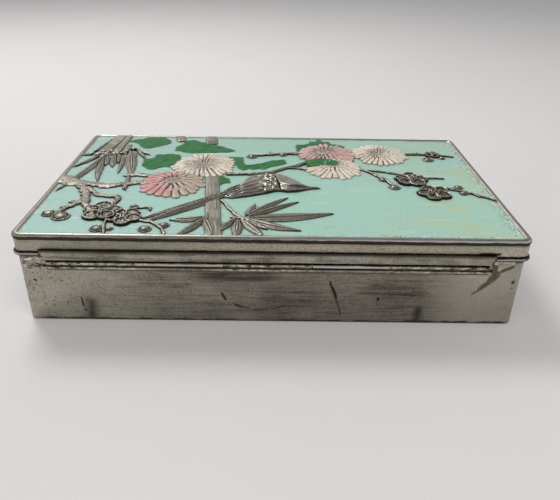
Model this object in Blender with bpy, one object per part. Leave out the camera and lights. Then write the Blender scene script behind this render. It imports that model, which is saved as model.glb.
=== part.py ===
"""Hinged table box of cast white metal, with a bird, chrysanthemums, bamboo and plum in relief on its lid.

The box stands on its floor at the origin, +Z up. Its hinge is on the -Y side, and the picture on the
lid stands upright when it is seen from there.
"""

import math

import bmesh
import bpy
from mathutils import Matrix, Vector

MM = 0.001

# Body: a plain tray whose top edge is stepped down to a thin lip
BODY_WIDTH = 164.2 * MM
BODY_DEPTH = 99.7 * MM
BODY_HEIGHT = 25.0 * MM
BODY_WALL = 2.0 * MM
FLOOR_THICKNESS = 1.8 * MM
BODY_CORNER_RADIUS = 2.6 * MM
BOTTOM_EDGE_RADIUS = 0.8 * MM
LIP_HEIGHT = 2.2 * MM
LIP_CLEARANCE = 0.3 * MM
SEAM_GAP = 0.3 * MM

# Lid: a shallow cap with a roll round its top and a bead round its foot
SKIRT_HEIGHT = 7.0 * MM
SKIRT_OVERHANG = 0.6 * MM
SKIRT_WALL = 1.5 * MM
TOP_THICKNESS = 1.7 * MM
RIM_RADIUS = 1.2 * MM
RIM_PROUD = 0.25 * MM
RIM_RISE = 0.5 * MM
BEAD_RADIUS = 0.6 * MM
BEAD_PROUD = 0.8 * MM
HINGE_SEAT_DEPTH = 0.1 * MM

# Hinge: a strip on the lid and one on the body, with knuckles that share one pin
HINGE_END_MARGIN = 10.7 * MM
HINGE_OFFSET = -1.3 * MM
STRIP_OVERLENGTH = 1.5 * MM
KNUCKLE_SHARES = (("body", 29.0), ("lid", 29.0), ("body", 29.0), ("lid", 25.5), ("body", 33.0))
KNUCKLE_RADIUS = 0.85 * MM
KNUCKLE_BORE_RADIUS = 0.52 * MM
KNUCKLE_GAP = 0.3 * MM
PIN_RADIUS = 0.36 * MM
PIN_INSET = 0.2 * MM
AXIS_BELOW_SEAM = 2.3 * MM
KNUCKLE_WALL_GAP = 0.3 * MM
WEB_THICKNESS = 0.7 * MM
SOLDER_GAP = 0.1 * MM
LID_STRIP_THICKNESS = 1.4 * MM
LID_STRIP_ABOVE_SEAM = 2.1 * MM
LID_STRIP_BELOW_SEAM = 1.1 * MM
BODY_STRIP_THICKNESS = 1.1 * MM
BODY_STRIP_HEIGHT = 1.7 * MM
STRIP_EDGE_RADIUS = 0.35 * MM
STRIP_END_GAP = 0.1 * MM
SWING_CLEARANCE = 0.3 * MM

# Relief: how far each kind of figure stands out of the picture field
RELIEF_ROOT = 0.8 * MM
EDGE_SINK = 0.12 * MM
FIGURE_STAGGER = 0.0005 * MM
FLOWER_HEIGHT = 1.8 * MM
PETAL_TIP_HEIGHT = 0.55 * MM
BLOSSOM_HEIGHT = 1.2 * MM
BLOSSOM_EDGE_HEIGHT = 0.6 * MM
BUD_HEIGHT = 0.9 * MM
TWIG_HEIGHT = 0.75 * MM
BLADE_HEIGHT = 0.75 * MM
CANE_HEIGHT = 0.6 * MM
GREEN_LEAF_HEIGHT = 0.35 * MM
BIRD_HEIGHT = 2.6 * MM
TAIL_HEIGHT = 1.0 * MM

# Picture: its figures are placed in millimetres on a drawing of this size, which fills the field
DRAWING_WIDTH = 160.4
DRAWING_DEPTH = 93.1

CORNER_STEPS = 5
MOULDING_STEPS = 6
SMALLEST_CORNER = 0.3 * MM

# Chrysanthemums: centre, radius, petals, and where the eye sits from the centre
CHRYSANTHEMUMS = (
    ((-28.5, 12.0), 12.8, 24, (-0.5, -2.5)),
    ((-37.5, -7.0), 12.5, 18, (-0.5, 1.0)),
    ((22.5, 26.5), 12.2, 22, (-1.0, -1.5)),
    ((45.0, 27.5), 12.0, 22, (-2.0, -0.5)),
    ((24.5, 11.3), 11.4, 20, (0.0, 0.0)),
)

# Plum blossoms: centre, radius, turn in degrees
BLOSSOMS = (
    ((-58.0, -32.0), 6.3, 20.0),
    ((-49.5, -35.5), 6.0, 55.0),
    ((53.5, 0.0), 6.4, 10.0),
    ((59.5, -12.0), 6.2, 40.0),
    ((69.0, 28.0), 3.4, 0.0),
)

# Plum buds: centre, radius
BUDS = (
    ((-75.5, -33.5), 2.2),
    ((-70.5, -35.8), 3.1),
    ((-72.0, -28.6), 1.4),
    ((-56.5, -43.3), 2.3),
    ((-52.4, -43.2), 1.5),
    ((-41.0, -43.0), 2.1),
    ((-35.3, -41.0), 1.9),
    ((-48.0, -27.2), 1.4),
    ((45.5, -7.5), 2.2),
    ((43.0, 0.5), 1.7),
    ((70.3, -7.2), 1.6),
    ((70.7, -12.0), 1.6),
    ((65.5, 22.8), 2.3),
    ((-9.0, 23.0), 2.2),
    ((4.0, 25.6), 1.8),
)

# Plum twigs: width, then the points of their line
TWIGS = (
    (6.6, ((-82.0, -3.2), (-77.5, -4.8), (-73.5, -7.0))),
    (3.6, ((-76.0, -5.6), (-70.0, -7.8), (-63.0, -9.8), (-56.0, -8.0), (-48.0, -4.8))),
    (3.4, ((-73.5, -7.5), (-69.0, -13.5), (-66.8, -22.0), (-63.0, -28.0), (-59.0, -32.0))),
    (1.6, ((-66.8, -22.0), (-71.0, -27.0), (-71.0, -34.0))),
    (1.8, ((-68.5, -13.0), (-63.0, -18.5), (-55.5, -20.0), (-54.5, -29.0))),
    (2.4, ((-57.5, -1.5), (-53.0, 0.0), (-47.0, -3.0))),
    (1.3, ((-48.0, -37.0), (-41.0, -40.0), (-36.5, -42.5), (-33.8, -47.5))),
    (1.2, ((-50.0, -31.0), (-47.5, -28.0), (-43.0, -28.3))),
    (1.2, ((-55.0, -37.0), (-54.3, -43.0), (-53.0, -47.5))),
    (1.5, ((34.0, 12.0), (38.0, 8.5), (43.0, 0.5), (46.0, -6.5))),
    (1.2, ((37.5, 9.5), (43.0, 8.3), (51.0, 5.0))),
    (1.2, ((57.0, 0.0), (62.0, 1.8), (66.5, 1.8))),
    (1.3, ((58.0, -8.0), (66.0, -8.0), (71.0, -10.0), (76.0, -14.0), (81.5, -18.5))),
    (1.5, ((53.0, 28.0), (62.0, 28.0), (70.0, 27.6), (77.5, 26.0))),
    (1.5, ((13.0, 25.5), (4.0, 26.0), (-1.0, 24.0), (-10.0, 23.3))),
    (1.8, ((15.0, 15.0), (9.0, 11.0), (4.0, 8.5), (-2.0, 4.5), (-10.0, 2.5), (-18.0, 2.5))),
)

# Bamboo blades: foot, tip, width
BLADES = (
    ((-8.0, -34.0), (5.5, -18.5), 3.0),
    ((-7.0, -34.5), (9.0, -22.0), 3.2),
    ((-7.0, -35.0), (20.5, -30.5), 5.2),
    ((-7.0, -35.5), (9.0, -43.3), 4.2),
    ((-9.0, -35.5), (-2.0, -42.8), 2.5),
    ((-10.0, -35.5), (-3.0, -47.8), 3.4),
    ((-11.0, -35.5), (-12.3, -48.2), 3.3),
    ((-12.0, -35.0), (-17.0, -43.5), 2.8),
    ((-9.5, -33.5), (-6.5, -23.8), 3.0),
    ((-23.3, -35.3), (-34.5, -36.8), 3.6),
    ((-23.3, -35.5), (-31.5, -47.5), 3.4),
    ((-23.5, -34.5), (-19.5, -47.8), 3.6),
    ((-72.0, 22.0), (-80.5, -17.0), 3.4),
    ((-71.0, 22.0), (-66.5, -6.0), 2.7),
    ((-67.5, 23.0), (-65.0, 9.5), 5.0),
    ((-63.0, 24.0), (-60.5, 2.0), 2.6),
    ((-61.0, 28.0), (-54.8, -13.0), 3.6),
    ((-73.0, 24.0), (-80.5, 11.0), 2.2),
    ((-71.0, 27.0), (-81.0, 24.5), 3.0),
    ((-60.0, 32.0), (-53.5, 18.0), 2.6),
    ((-68.0, 48.0), (-75.5, 22.0), 5.0),
    ((-67.5, 48.0), (-69.0, 20.0), 5.4),
    ((-66.5, 48.0), (-60.5, 24.0), 5.4),
)

# Bamboo canes: width, lower end, upper end
CANES = (
    (5.2, (-18.8, -48.0), (-24.2, 3.0)),
    (4.8, (-27.8, 39.0), (-28.9, 48.0)),
    (4.0, (-42.0, 40.0), (-43.5, 48.0)),
    (1.7, (-10.0, -35.5), (-18.3, -20.5)),
    (1.3, (-23.3, -36.5), (-21.8, -27.0)),
)

# Chrysanthemum leaves: centre, length, width, turn in degrees
GREEN_LEAVES = (
    ((-55.0, 38.0), 21.0, 13.0, 15.0),
    ((-31.0, 34.0), 27.0, 15.0, -18.0),
    ((-46.5, 16.5), 20.0, 13.0, 62.0),
    ((-4.0, 15.5), 20.0, 7.5, 28.0),
    ((-17.0, 19.0), 10.0, 7.0, -55.0),
    ((20.0, 37.5), 19.0, 13.0, 20.0),
    ((17.0, 15.5), 9.0, 7.0, 60.0),
    ((-19.0, -3.5), 10.0, 6.0, -58.0),
)
LEAF_LOBES = 5
LEAF_LOBE_DEPTH = 0.16

# Bird: the middle of its rounded forms, half length, half width, share of the height, turn in degrees
BIRD_FORMS = (
    ((-7.6, -6.8), 12.4, 7.2, 1.0, 35.0),
    ((5.0, -3.7), 8.0, 7.0, 1.0, -18.0),
)
BIRD_BEAK = ((9.5, -5.4), (18.0, -6.2), 3.4)
WING_BLADES = (
    ((-1.5, -1.8), (-21.0, -15.0), 4.2),
    ((-2.0, -5.0), (-21.5, -16.8), 4.2),
    ((-1.5, -9.5), (-20.0, -18.8), 3.6),
)
TAIL_BLADES = (
    ((-14.0, -12.0), (-43.6, -37.2), 3.0),
    ((-14.0, -14.0), (-42.5, -38.3), 3.0),
)


def lid_half(inset=0.0):
    """Half the width and half the depth of the lid's skirt, less an inset."""
    return (
        BODY_WIDTH / 2 + SKIRT_OVERHANG - inset,
        BODY_DEPTH / 2 + SKIRT_OVERHANG - inset,
    )


SEAM_TOP = BODY_HEIGHT + SEAM_GAP
FIELD_LEVEL = SEAM_TOP + SKIRT_HEIGHT
SKIRT_CORNER_RADIUS = BODY_CORNER_RADIUS + SKIRT_OVERHANG
RIM_CENTRE_INSET = RIM_RADIUS - RIM_PROUD
RIM_LEVEL = FIELD_LEVEL + RIM_RISE - RIM_RADIUS
RIM_FIELD_REACH = math.sqrt(RIM_RADIUS**2 - (RIM_RADIUS - RIM_RISE) ** 2)
FIELD_INSET = RIM_CENTRE_INSET + RIM_FIELD_REACH
SEAT_HEIGHT = max(2 * BEAD_RADIUS, LID_STRIP_ABOVE_SEAM) + HINGE_SEAT_DEPTH
HINGE_HALF = BODY_WIDTH / 2 - HINGE_END_MARGIN
STRIP_HALF = HINGE_HALF + STRIP_OVERLENGTH
AXIS_Y = -(BODY_DEPTH / 2 + KNUCKLE_WALL_GAP + KNUCKLE_RADIUS)
AXIS_Z = SEAM_TOP - AXIS_BELOW_SEAM
FIELD_HALF = Vector(lid_half(FIELD_INSET))
DRAWING_SCALE = Vector((2 * FIELD_HALF.x / DRAWING_WIDTH, 2 * FIELD_HALF.y / DRAWING_DEPTH))
FIGURE_SCALE = min(DRAWING_SCALE)


# Helpers


def clear_scene():
    for obj in list(bpy.data.objects):
        bpy.data.objects.remove(obj, do_unlink=True)


def make_collection(name, hidden=False):
    collection = bpy.data.collections.new(name)
    collection.hide_render = hidden
    bpy.context.scene.collection.children.link(collection)
    return collection


def make_material(name, colour, roughness, metallic):
    material = bpy.data.materials.new(name)
    material.use_nodes = True
    shader = material.node_tree.nodes["Principled BSDF"]
    shader.inputs["Base Color"].default_value = (*colour, 1.0)
    shader.inputs["Roughness"].default_value = roughness
    shader.inputs["Metallic"].default_value = metallic
    return material


def place(name, mesh, collection, material=None):
    obj = bpy.data.objects.new(name, mesh)
    collection.objects.link(obj)
    if material:
        mesh.materials.append(material)
    return obj


def as_helper(obj):
    obj.hide_render = True
    obj.display_type = "WIRE"
    return obj


def mesh_of_curve(curve, name):
    """The closed mesh of a curve, with its caps welded to its sides."""
    holder = bpy.data.objects.new(name, curve)
    bpy.context.scene.collection.objects.link(holder)
    graph = bpy.context.evaluated_depsgraph_get()
    mesh = bpy.data.meshes.new_from_object(holder.evaluated_get(graph))
    bpy.data.objects.remove(holder, do_unlink=True)
    bm = bmesh.new()
    bm.from_mesh(mesh)
    bmesh.ops.remove_doubles(bm, verts=bm.verts, dist=0.000001)
    bmesh.ops.recalc_face_normals(bm, faces=bm.faces)
    bm.to_mesh(mesh)
    bm.free()
    mesh.name = name
    return mesh


def rounded_rectangle(half_width, half_depth, radius):
    """Points round a rectangle with round corners, anticlockwise from the +X side."""
    points = []
    for quarter, (sign_x, sign_y) in enumerate(((1, 1), (-1, 1), (-1, -1), (1, -1))):
        centre = Vector((sign_x * (half_width - radius), sign_y * (half_depth - radius)))
        for step in range(CORNER_STEPS + 1):
            angle = math.radians(90 * (quarter + step / CORNER_STEPS))
            points.append(centre + radius * Vector((math.cos(angle), math.sin(angle))))
    return points


def poly_spline(curve, points, radii=None, cyclic=False):
    spline = curve.splines.new("POLY")
    spline.points.add(len(points) - 1)
    for index, point in enumerate(points):
        spline.points[index].co = (*point, 1.0)
        if radii:
            spline.points[index].radius = radii[index]
    spline.use_cyclic_u = cyclic
    return spline


def stack_of_rings(name, half, radius, profile):
    """A solid whose outline is a rectangle with round corners, inset and raised as the profile says."""
    bm = bmesh.new()
    rings = []
    for inset, level in profile:
        corner = max(radius - inset, SMALLEST_CORNER)
        outline = rounded_rectangle(half[0] - inset, half[1] - inset, corner)
        rings.append([bm.verts.new((*point, level)) for point in outline])
    for below, above in zip(rings, rings[1:]):
        for index in range(len(below)):
            after = (index + 1) % len(below)
            bm.faces.new((below[index], below[after], above[after], above[index]))
    bm.faces.new(list(reversed(rings[0])))
    bm.faces.new(rings[-1])
    bmesh.ops.recalc_face_normals(bm, faces=bm.faces)
    mesh = bpy.data.meshes.new(name)
    bm.to_mesh(mesh)
    bm.free()
    return mesh


def arc(centre, radius, start, end, steps):
    """Profile points on an arc. Angles are in degrees: 0 points outward and 90 up."""
    points = []
    for step in range(steps + 1):
        angle = math.radians(start + (end - start) * step / steps)
        points.append((centre[0] - radius * math.cos(angle), centre[1] + radius * math.sin(angle)))
    return points


def block(name, low, high):
    """A box between two corners."""
    bm = bmesh.new()
    bmesh.ops.create_cube(bm, size=1.0)
    size = Vector(high) - Vector(low)
    bmesh.ops.scale(bm, vec=size, verts=bm.verts)
    bmesh.ops.translate(bm, vec=(Vector(high) + Vector(low)) / 2, verts=bm.verts)
    mesh = bpy.data.meshes.new(name)
    bm.to_mesh(mesh)
    bm.free()
    return mesh


def rod(name, start, end, radius, sides, middle):
    """A rod along X, with its axis through the point middle in Y and Z."""
    bm = bmesh.new()
    turn = Matrix.Rotation(math.radians(90), 4, "Y")
    bmesh.ops.create_cone(
        bm, cap_ends=True, segments=sides, radius1=radius, radius2=radius, depth=end - start, matrix=turn
    )
    bmesh.ops.translate(bm, vec=((start + end) / 2, *middle), verts=bm.verts)
    mesh = bpy.data.meshes.new(name)
    bm.to_mesh(mesh)
    bm.free()
    return mesh


def boolean(obj, operation, other, overlapping=False, solver="EXACT"):
    """A Boolean on obj with an object or a collection. Overlapping says that a mesh crosses itself."""
    modifier = obj.modifiers.new(operation.title(), "BOOLEAN")
    modifier.operation = operation
    modifier.solver = solver
    if isinstance(other, bpy.types.Collection):
        modifier.operand_type = "COLLECTION"
        modifier.collection = other
    else:
        modifier.object = other
    modifier.use_self = overlapping
    return modifier


def joined(name, meshes, collection):
    """One helper object that holds several closed shapes, which may overlap."""
    bm = bmesh.new()
    for mesh in meshes:
        bm.from_mesh(mesh)
    mesh = bpy.data.meshes.new(name)
    bm.to_mesh(mesh)
    bm.free()
    return as_helper(place(name, mesh, collection))


# Body


def build_body(parts, metal):
    lip_outside = SKIRT_WALL + LIP_CLEARANCE - SKIRT_OVERHANG
    foot = arc((BOTTOM_EDGE_RADIUS, BOTTOM_EDGE_RADIUS), BOTTOM_EDGE_RADIUS, -90, 0, 3)
    profile = [
        *foot,
        (0.0, BODY_HEIGHT),
        (lip_outside, BODY_HEIGHT),
        (lip_outside, BODY_HEIGHT + LIP_HEIGHT),
        (BODY_WALL, BODY_HEIGHT + LIP_HEIGHT),
        (BODY_WALL, FLOOR_THICKNESS),
    ]
    half = (BODY_WIDTH / 2, BODY_DEPTH / 2)
    return place("box_body", stack_of_rings("box_body", half, BODY_CORNER_RADIUS, profile), parts, metal)


# Relief figures


def on_field(point, level=0.0):
    """A point of the drawing, on the picture field or above it."""
    return Vector((point[0] * DRAWING_SCALE.x, point[1] * DRAWING_SCALE.y, FIELD_LEVEL + level))


def length_on_field(millimetres):
    return millimetres * FIGURE_SCALE


def smooth_line(points, steps):
    """Points on a smooth curve that passes through the given points."""
    line = []
    for index in range(len(points) - 1):
        before = points[max(index - 1, 0)]
        start, end = points[index], points[index + 1]
        after = points[min(index + 2, len(points) - 1)]
        for step in range(steps):
            t = step / steps
            line.append(
                0.5
                * (
                    2 * start
                    + (end - before) * t
                    + (2 * before - 5 * start + 4 * end - after) * t**2
                    + (3 * start - before - 3 * end + after) * t**3
                )
            )
    line.append(points[-1])
    return line


def tapered_tube(name, points, radii, height, resolution):
    """A tube along points of the field, with its own radius at each, flattened to a height."""
    curve = bpy.data.curves.new(name, "CURVE")
    curve.dimensions = "3D"
    curve.twist_mode = "Z_UP"
    curve.bevel_depth = MM
    curve.bevel_resolution = resolution
    curve.use_fill_caps = True
    spread = (height + EDGE_SINK) / height
    poly_spline(curve, points, radii=[spread * r / MM for r in radii])
    mesh = mesh_of_curve(curve, name)
    flatten = (height + EDGE_SINK) / (spread * max(radii))
    to_field = Matrix.Translation((0, 0, -FIELD_LEVEL))
    back = Matrix.Translation((0, 0, FIELD_LEVEL - EDGE_SINK))
    mesh.transform(back @ Matrix.Diagonal((1, 1, flatten, 1)) @ to_field)
    return mesh


def blade(name, foot, tip, width, height, swell=0.4):
    """A bamboo leaf: a long lens with a raised midrib, widest a little way from its foot."""
    start, end = on_field(foot), on_field(tip)
    half = length_on_field(width) / 2
    stations = 6
    points, radii = [], []
    for index in range(stations + 1):
        t = index / stations
        fullness = math.sin(math.pi * t ** (math.log(0.5) / math.log(swell)))
        points.append(start.lerp(end, t))
        radii.append(half * max(fullness, 0.12))
    return tapered_tube(name, points, radii, height, 0)


def twig(name, width, points):
    """A plum twig that swells at its joints."""
    line = smooth_line([on_field(p) for p in points], 3)
    half = length_on_field(width) / 2
    radii = [half * (1.0 if index % 3 == 0 else 0.82) for index in range(len(line))]
    return tapered_tube(name, line, radii, TWIG_HEIGHT, 1)


def cane(name, width, foot, top):
    """A bamboo cane, with a ridge round it at each joint."""
    half = length_on_field(width) / 2
    start, end = on_field(foot), on_field(top)
    joints = 3
    points, radii = [], []
    for index in range(joints):
        for share, swell in ((0.02, 1.0), (0.94, 1.0), (0.97, 1.14), (1.0, 1.0)):
            points.append(start.lerp(end, (index + share) / joints))
            radii.append(half * swell)
    return tapered_tube(name, points, radii, CANE_HEIGHT, 1)


def ball(name, segments, rings, shape):
    """A sphere whose points are moved by shape, which takes a turn and a share from pole to pole."""
    bm = bmesh.new()
    bmesh.ops.create_uvsphere(bm, u_segments=segments, v_segments=rings, radius=1.0)
    for vertex in bm.verts:
        turn = math.atan2(vertex.co.y, vertex.co.x)
        share = math.acos(max(-1.0, min(1.0, vertex.co.z))) / math.pi
        vertex.co = shape(turn, share)
    bmesh.ops.recalc_face_normals(bm, faces=bm.faces)
    mesh = bpy.data.meshes.new(name)
    bm.to_mesh(mesh)
    bm.free()
    return mesh


def rooted(middle, reach, share, outline, surface):
    """A point of a low form: its top for a ball's upper half, and its root in the lid for the lower."""
    if share < 0.51:
        out = share * 2
        level = surface(out)
    else:
        out = 1.04 if share < 0.7 else (1.0 - share) * 3
        level = -RELIEF_ROOT
    spot = middle + reach * outline * out
    return Vector((spot.x, spot.y, FIELD_LEVEL + level))


def chrysanthemum(name, centre, radius, petals, eye):
    """A flower head of narrow petals round a sunken eye."""
    middle = on_field(centre)
    heart = on_field((centre[0] + eye[0], centre[1] + eye[1]))
    reach = length_on_field(radius)

    def shape(turn, share):
        ridge = round(turn * petals / math.pi) % 2 == 0
        outline = 1.0 if ridge else 0.86
        out = min(share * 2, 1.0)
        origin = heart.lerp(middle, out)
        direction = Vector((math.cos(turn), math.sin(turn), 0))

        def surface(out):
            dome = PETAL_TIP_HEIGHT + (FLOWER_HEIGHT - PETAL_TIP_HEIGHT) * (1 - out**1.6)
            if out < 0.2:
                return dome * 0.75
            return dome if ridge else dome * 0.62

        return rooted(origin, reach * direction, share, outline, surface)

    return ball(name, 2 * petals, 6, shape)


def blossom(name, centre, radius, turn_degrees):
    """A plum flower of five cupped petals round a small boss."""
    middle = on_field(centre)
    reach = length_on_field(radius)
    first = math.radians(turn_degrees)

    def shape(turn, share):
        lobe = abs(math.cos(2.5 * (turn - first)))
        outline = 0.72 + 0.28 * math.sqrt(lobe)
        direction = Vector((math.cos(turn), math.sin(turn), 0))

        def surface(out):
            if out < 0.2:
                return BLOSSOM_HEIGHT
            petal = BLOSSOM_EDGE_HEIGHT + (BLOSSOM_HEIGHT - BLOSSOM_EDGE_HEIGHT) * math.sin(math.pi * out)
            return petal * (0.75 + 0.25 * lobe)

        return rooted(middle, reach * direction, share, outline, surface)

    return ball(name, 20, 6, shape)


def bud(name, centre, radius):
    """A round plum bud."""
    middle = on_field(centre)
    reach = length_on_field(radius)

    def shape(turn, share):
        direction = Vector((math.cos(turn), math.sin(turn), 0))
        return rooted(middle, reach * direction, share, 1.0, lambda out: BUD_HEIGHT * math.cos(out * 1.2))

    return ball(name, 10, 4, shape)


def green_leaf(name, centre, length, width, turn_degrees):
    """A lobed chrysanthemum leaf, almost flush with the field."""
    middle = on_field(centre)
    half = Vector((length_on_field(length) / 2, length_on_field(width) / 2))
    lie = Matrix.Rotation(math.radians(turn_degrees), 3, "Z")
    bm = bmesh.new()
    bmesh.ops.create_cone(
        bm, cap_ends=True, cap_tris=True, segments=4 * LEAF_LOBES, radius1=1.0, radius2=1.0, depth=2.0
    )
    for vertex in bm.verts:
        turn = math.atan2(vertex.co.y, vertex.co.x)
        lobe = 1.0 - LEAF_LOBE_DEPTH * (1 - math.cos(2 * LEAF_LOBES * turn / 2)) / 2
        out = math.hypot(vertex.co.x, vertex.co.y)
        top = vertex.co.z > 0
        flat = Vector((half.x * math.cos(turn), half.y * math.sin(turn), 0)) * lobe * out
        level = GREEN_LEAF_HEIGHT if top else -RELIEF_ROOT
        if top and out <= 0.5:
            level += GREEN_LEAF_HEIGHT / 2
        vertex.co = middle + lie @ flat + Vector((0, 0, level))
    mesh = bpy.data.meshes.new(name)
    bm.to_mesh(mesh)
    bm.free()
    return mesh


def bird_form(name, centre, half_length, half_width, height_share, turn_degrees):
    """A rounded mass of the bird's head or body."""
    middle = on_field(centre)
    long_half, short_half = length_on_field(half_length), length_on_field(half_width)
    lie = Matrix.Rotation(math.radians(turn_degrees), 3, "Z")

    def shape(turn, share):
        flat = lie @ Vector((long_half * math.cos(turn), short_half * math.sin(turn), 0))
        top = BIRD_HEIGHT * height_share
        return rooted(middle, flat, share, 1.0, lambda out: top * math.sqrt(1.04 - min(out, 1.0) ** 2))

    return ball(name, 16, 8, shape)


def bird_meshes():
    meshes = [bird_form(f"bird_form_{i}", *form) for i, form in enumerate(BIRD_FORMS)]
    foot, tip, width = BIRD_BEAK
    meshes.append(blade("beak", foot, tip, width, BIRD_HEIGHT * 0.6, swell=0.2))
    for index, feathers in enumerate(WING_BLADES):
        meshes.append(blade(f"wing_{index}", *feathers, BIRD_HEIGHT * 0.85, swell=0.3))
    for index, feathers in enumerate(TAIL_BLADES):
        meshes.append(blade(f"tail_{index}", *feathers, TAIL_HEIGHT, swell=0.5))
    return meshes


def build_relief(helpers):
    """A collection with each figure of the picture, cut off square where it would run past the rim."""
    meshes = [green_leaf(f"green_leaf_{i}", *leaf) for i, leaf in enumerate(GREEN_LEAVES)]
    meshes += [cane(f"cane_{i}", *row) for i, row in enumerate(CANES)]
    meshes += [blade(f"blade_{i}", *row, BLADE_HEIGHT) for i, row in enumerate(BLADES)]
    meshes += [twig(f"twig_{i}", *row) for i, row in enumerate(TWIGS)]
    meshes += [chrysanthemum(f"flower_{i}", *row) for i, row in enumerate(CHRYSANTHEMUMS)]
    meshes += [blossom(f"blossom_{i}", *row) for i, row in enumerate(BLOSSOMS)]
    meshes += [bud(f"bud_{i}", *row) for i, row in enumerate(BUDS)]
    meshes += bird_meshes()

    edge = RIM_RADIUS / 4
    frame_mesh = stack_of_rings(
        "picture_frame",
        (FIELD_HALF.x + edge, FIELD_HALF.y + edge),
        SKIRT_CORNER_RADIUS - FIELD_INSET + edge,
        [(0.0, FIELD_LEVEL - 2 * RELIEF_ROOT), (0.0, FIELD_LEVEL + 2 * BIRD_HEIGHT)],
    )
    frame = as_helper(place("picture_frame", frame_mesh, helpers))
    relief = make_collection("relief", hidden=True)
    for index, mesh in enumerate(meshes):
        mesh.transform(Matrix.Translation((0, 0, -index * FIGURE_STAGGER)))
        figure = as_helper(place(mesh.name, mesh, relief))
        boolean(figure, "INTERSECT", frame)
    return relief


# Lid


def build_lid(parts, helpers, enamel):
    roll_start = 180 - math.degrees(math.asin((RIM_RADIUS - RIM_RISE) / RIM_RADIUS))
    roll_end = -math.degrees(math.acos(RIM_CENTRE_INSET / RIM_RADIUS))
    bead_centre = (BEAD_RADIUS - BEAD_PROUD, SEAM_TOP + BEAD_RADIUS)
    profile = [
        *arc((RIM_CENTRE_INSET, RIM_LEVEL), RIM_RADIUS, roll_start, roll_end, MOULDING_STEPS),
        (0.0, SEAM_TOP + 2 * BEAD_RADIUS),
        *arc(bead_centre, BEAD_RADIUS, 90, -90, MOULDING_STEPS),
        (SKIRT_WALL, SEAM_TOP),
        (SKIRT_WALL, FIELD_LEVEL - TOP_THICKNESS),
    ]
    half = lid_half()
    lid = place("lid", stack_of_rings("lid", half, SKIRT_CORNER_RADIUS, profile), parts, enamel)

    seat = -half[1] + HINGE_SEAT_DEPTH
    hinge_room = block(
        "hinge_room",
        (HINGE_OFFSET - STRIP_HALF - STRIP_END_GAP, seat - 2 * BEAD_PROUD, SEAM_TOP - 2 * BEAD_RADIUS),
        (HINGE_OFFSET + STRIP_HALF + STRIP_END_GAP, seat, SEAM_TOP + SEAT_HEIGHT),
    )
    boolean(lid, "DIFFERENCE", as_helper(place("hinge_room", hinge_room, helpers)))
    boolean(lid, "UNION", build_relief(helpers))
    return lid


# Hinge


def knuckle_spans(owner):
    """The stretches of the hinge, from left to right, that belong to the lid or to the body."""
    total = sum(share for _, share in KNUCKLE_SHARES)
    left, spans = HINGE_OFFSET - HINGE_HALF, []
    for who, share in KNUCKLE_SHARES:
        right = left + 2 * HINGE_HALF * share / total
        if who == owner:
            spans.append((left + KNUCKLE_GAP / 2, right - KNUCKLE_GAP / 2))
        left = right
    return spans


def build_strip(name, owner, low, high, parts, helpers, metal):
    """A hinge strip with its knuckles, joined to them by thin webs."""
    ends = (HINGE_OFFSET - STRIP_HALF, HINGE_OFFSET + STRIP_HALF)
    strip_mesh = block(name, (ends[0], low[0], low[1]), (ends[1], high[0], high[1]))
    bm = bmesh.new()
    bm.from_mesh(strip_mesh)
    outer = [e for e in bm.edges if all(v.co.y < (low[0] + high[0]) / 2 for v in e.verts)]
    bmesh.ops.bevel(bm, geom=outer, offset=STRIP_EDGE_RADIUS, segments=2, profile=0.5, affect="EDGES")
    bm.to_mesh(strip_mesh)
    bm.free()
    strip = place(name, strip_mesh, parts, metal)

    solids, bores = [], []
    middle = (AXIS_Y, AXIS_Z)
    bite = min(high[1] - low[1], high[0] - low[0]) / 3
    reach = (AXIS_Z, low[1] + bite) if low[1] > AXIS_Z else (high[1] - bite, AXIS_Z)
    web_middle = min(AXIS_Y, high[0] - WEB_THICKNESS / 2 - SOLDER_GAP)
    web_middle = max(web_middle, low[0] + WEB_THICKNESS / 2)
    for index, (left, right) in enumerate(knuckle_spans(owner)):
        solids.append(rod(f"{name}_knuckle_{index}", left, right, KNUCKLE_RADIUS, 14, middle))
        web = block(
            f"{name}_web_{index}",
            (left, web_middle - WEB_THICKNESS / 2, reach[0]),
            (right, web_middle + WEB_THICKNESS / 2, reach[1]),
        )
        solids.append(web)
        bore_ends = (left - KNUCKLE_GAP, right + KNUCKLE_GAP)
        bores.append(rod(f"{name}_bore_{index}", *bore_ends, KNUCKLE_BORE_RADIUS, 12, middle))
    boolean(strip, "UNION", joined(f"{name}_knuckles", solids, helpers), overlapping=True)
    boolean(strip, "DIFFERENCE", joined(f"{name}_bores", bores, helpers))
    return strip


def build_hinge(parts, helpers, metal, wire):
    lid_back = -lid_half()[1] + HINGE_SEAT_DEPTH - SOLDER_GAP
    build_strip(
        "lid_hinge_strip",
        "lid",
        (lid_back - LID_STRIP_THICKNESS, SEAM_TOP - LID_STRIP_BELOW_SEAM),
        (lid_back, SEAM_TOP + LID_STRIP_ABOVE_SEAM),
        parts,
        helpers,
        metal,
    )
    body_back = -BODY_DEPTH / 2 - SOLDER_GAP
    strip_top = AXIS_Z - KNUCKLE_RADIUS - SWING_CLEARANCE
    build_strip(
        "body_hinge_strip",
        "body",
        (body_back - BODY_STRIP_THICKNESS, strip_top - BODY_STRIP_HEIGHT),
        (body_back, strip_top),
        parts,
        helpers,
        metal,
    )
    pin_half = HINGE_HALF - PIN_INSET
    ends = (HINGE_OFFSET - pin_half, HINGE_OFFSET + pin_half)
    pin = rod("hinge_pin", ends[0], ends[1], PIN_RADIUS, 12, (AXIS_Y, AXIS_Z))
    place("hinge_pin", pin, parts, wire)


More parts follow.
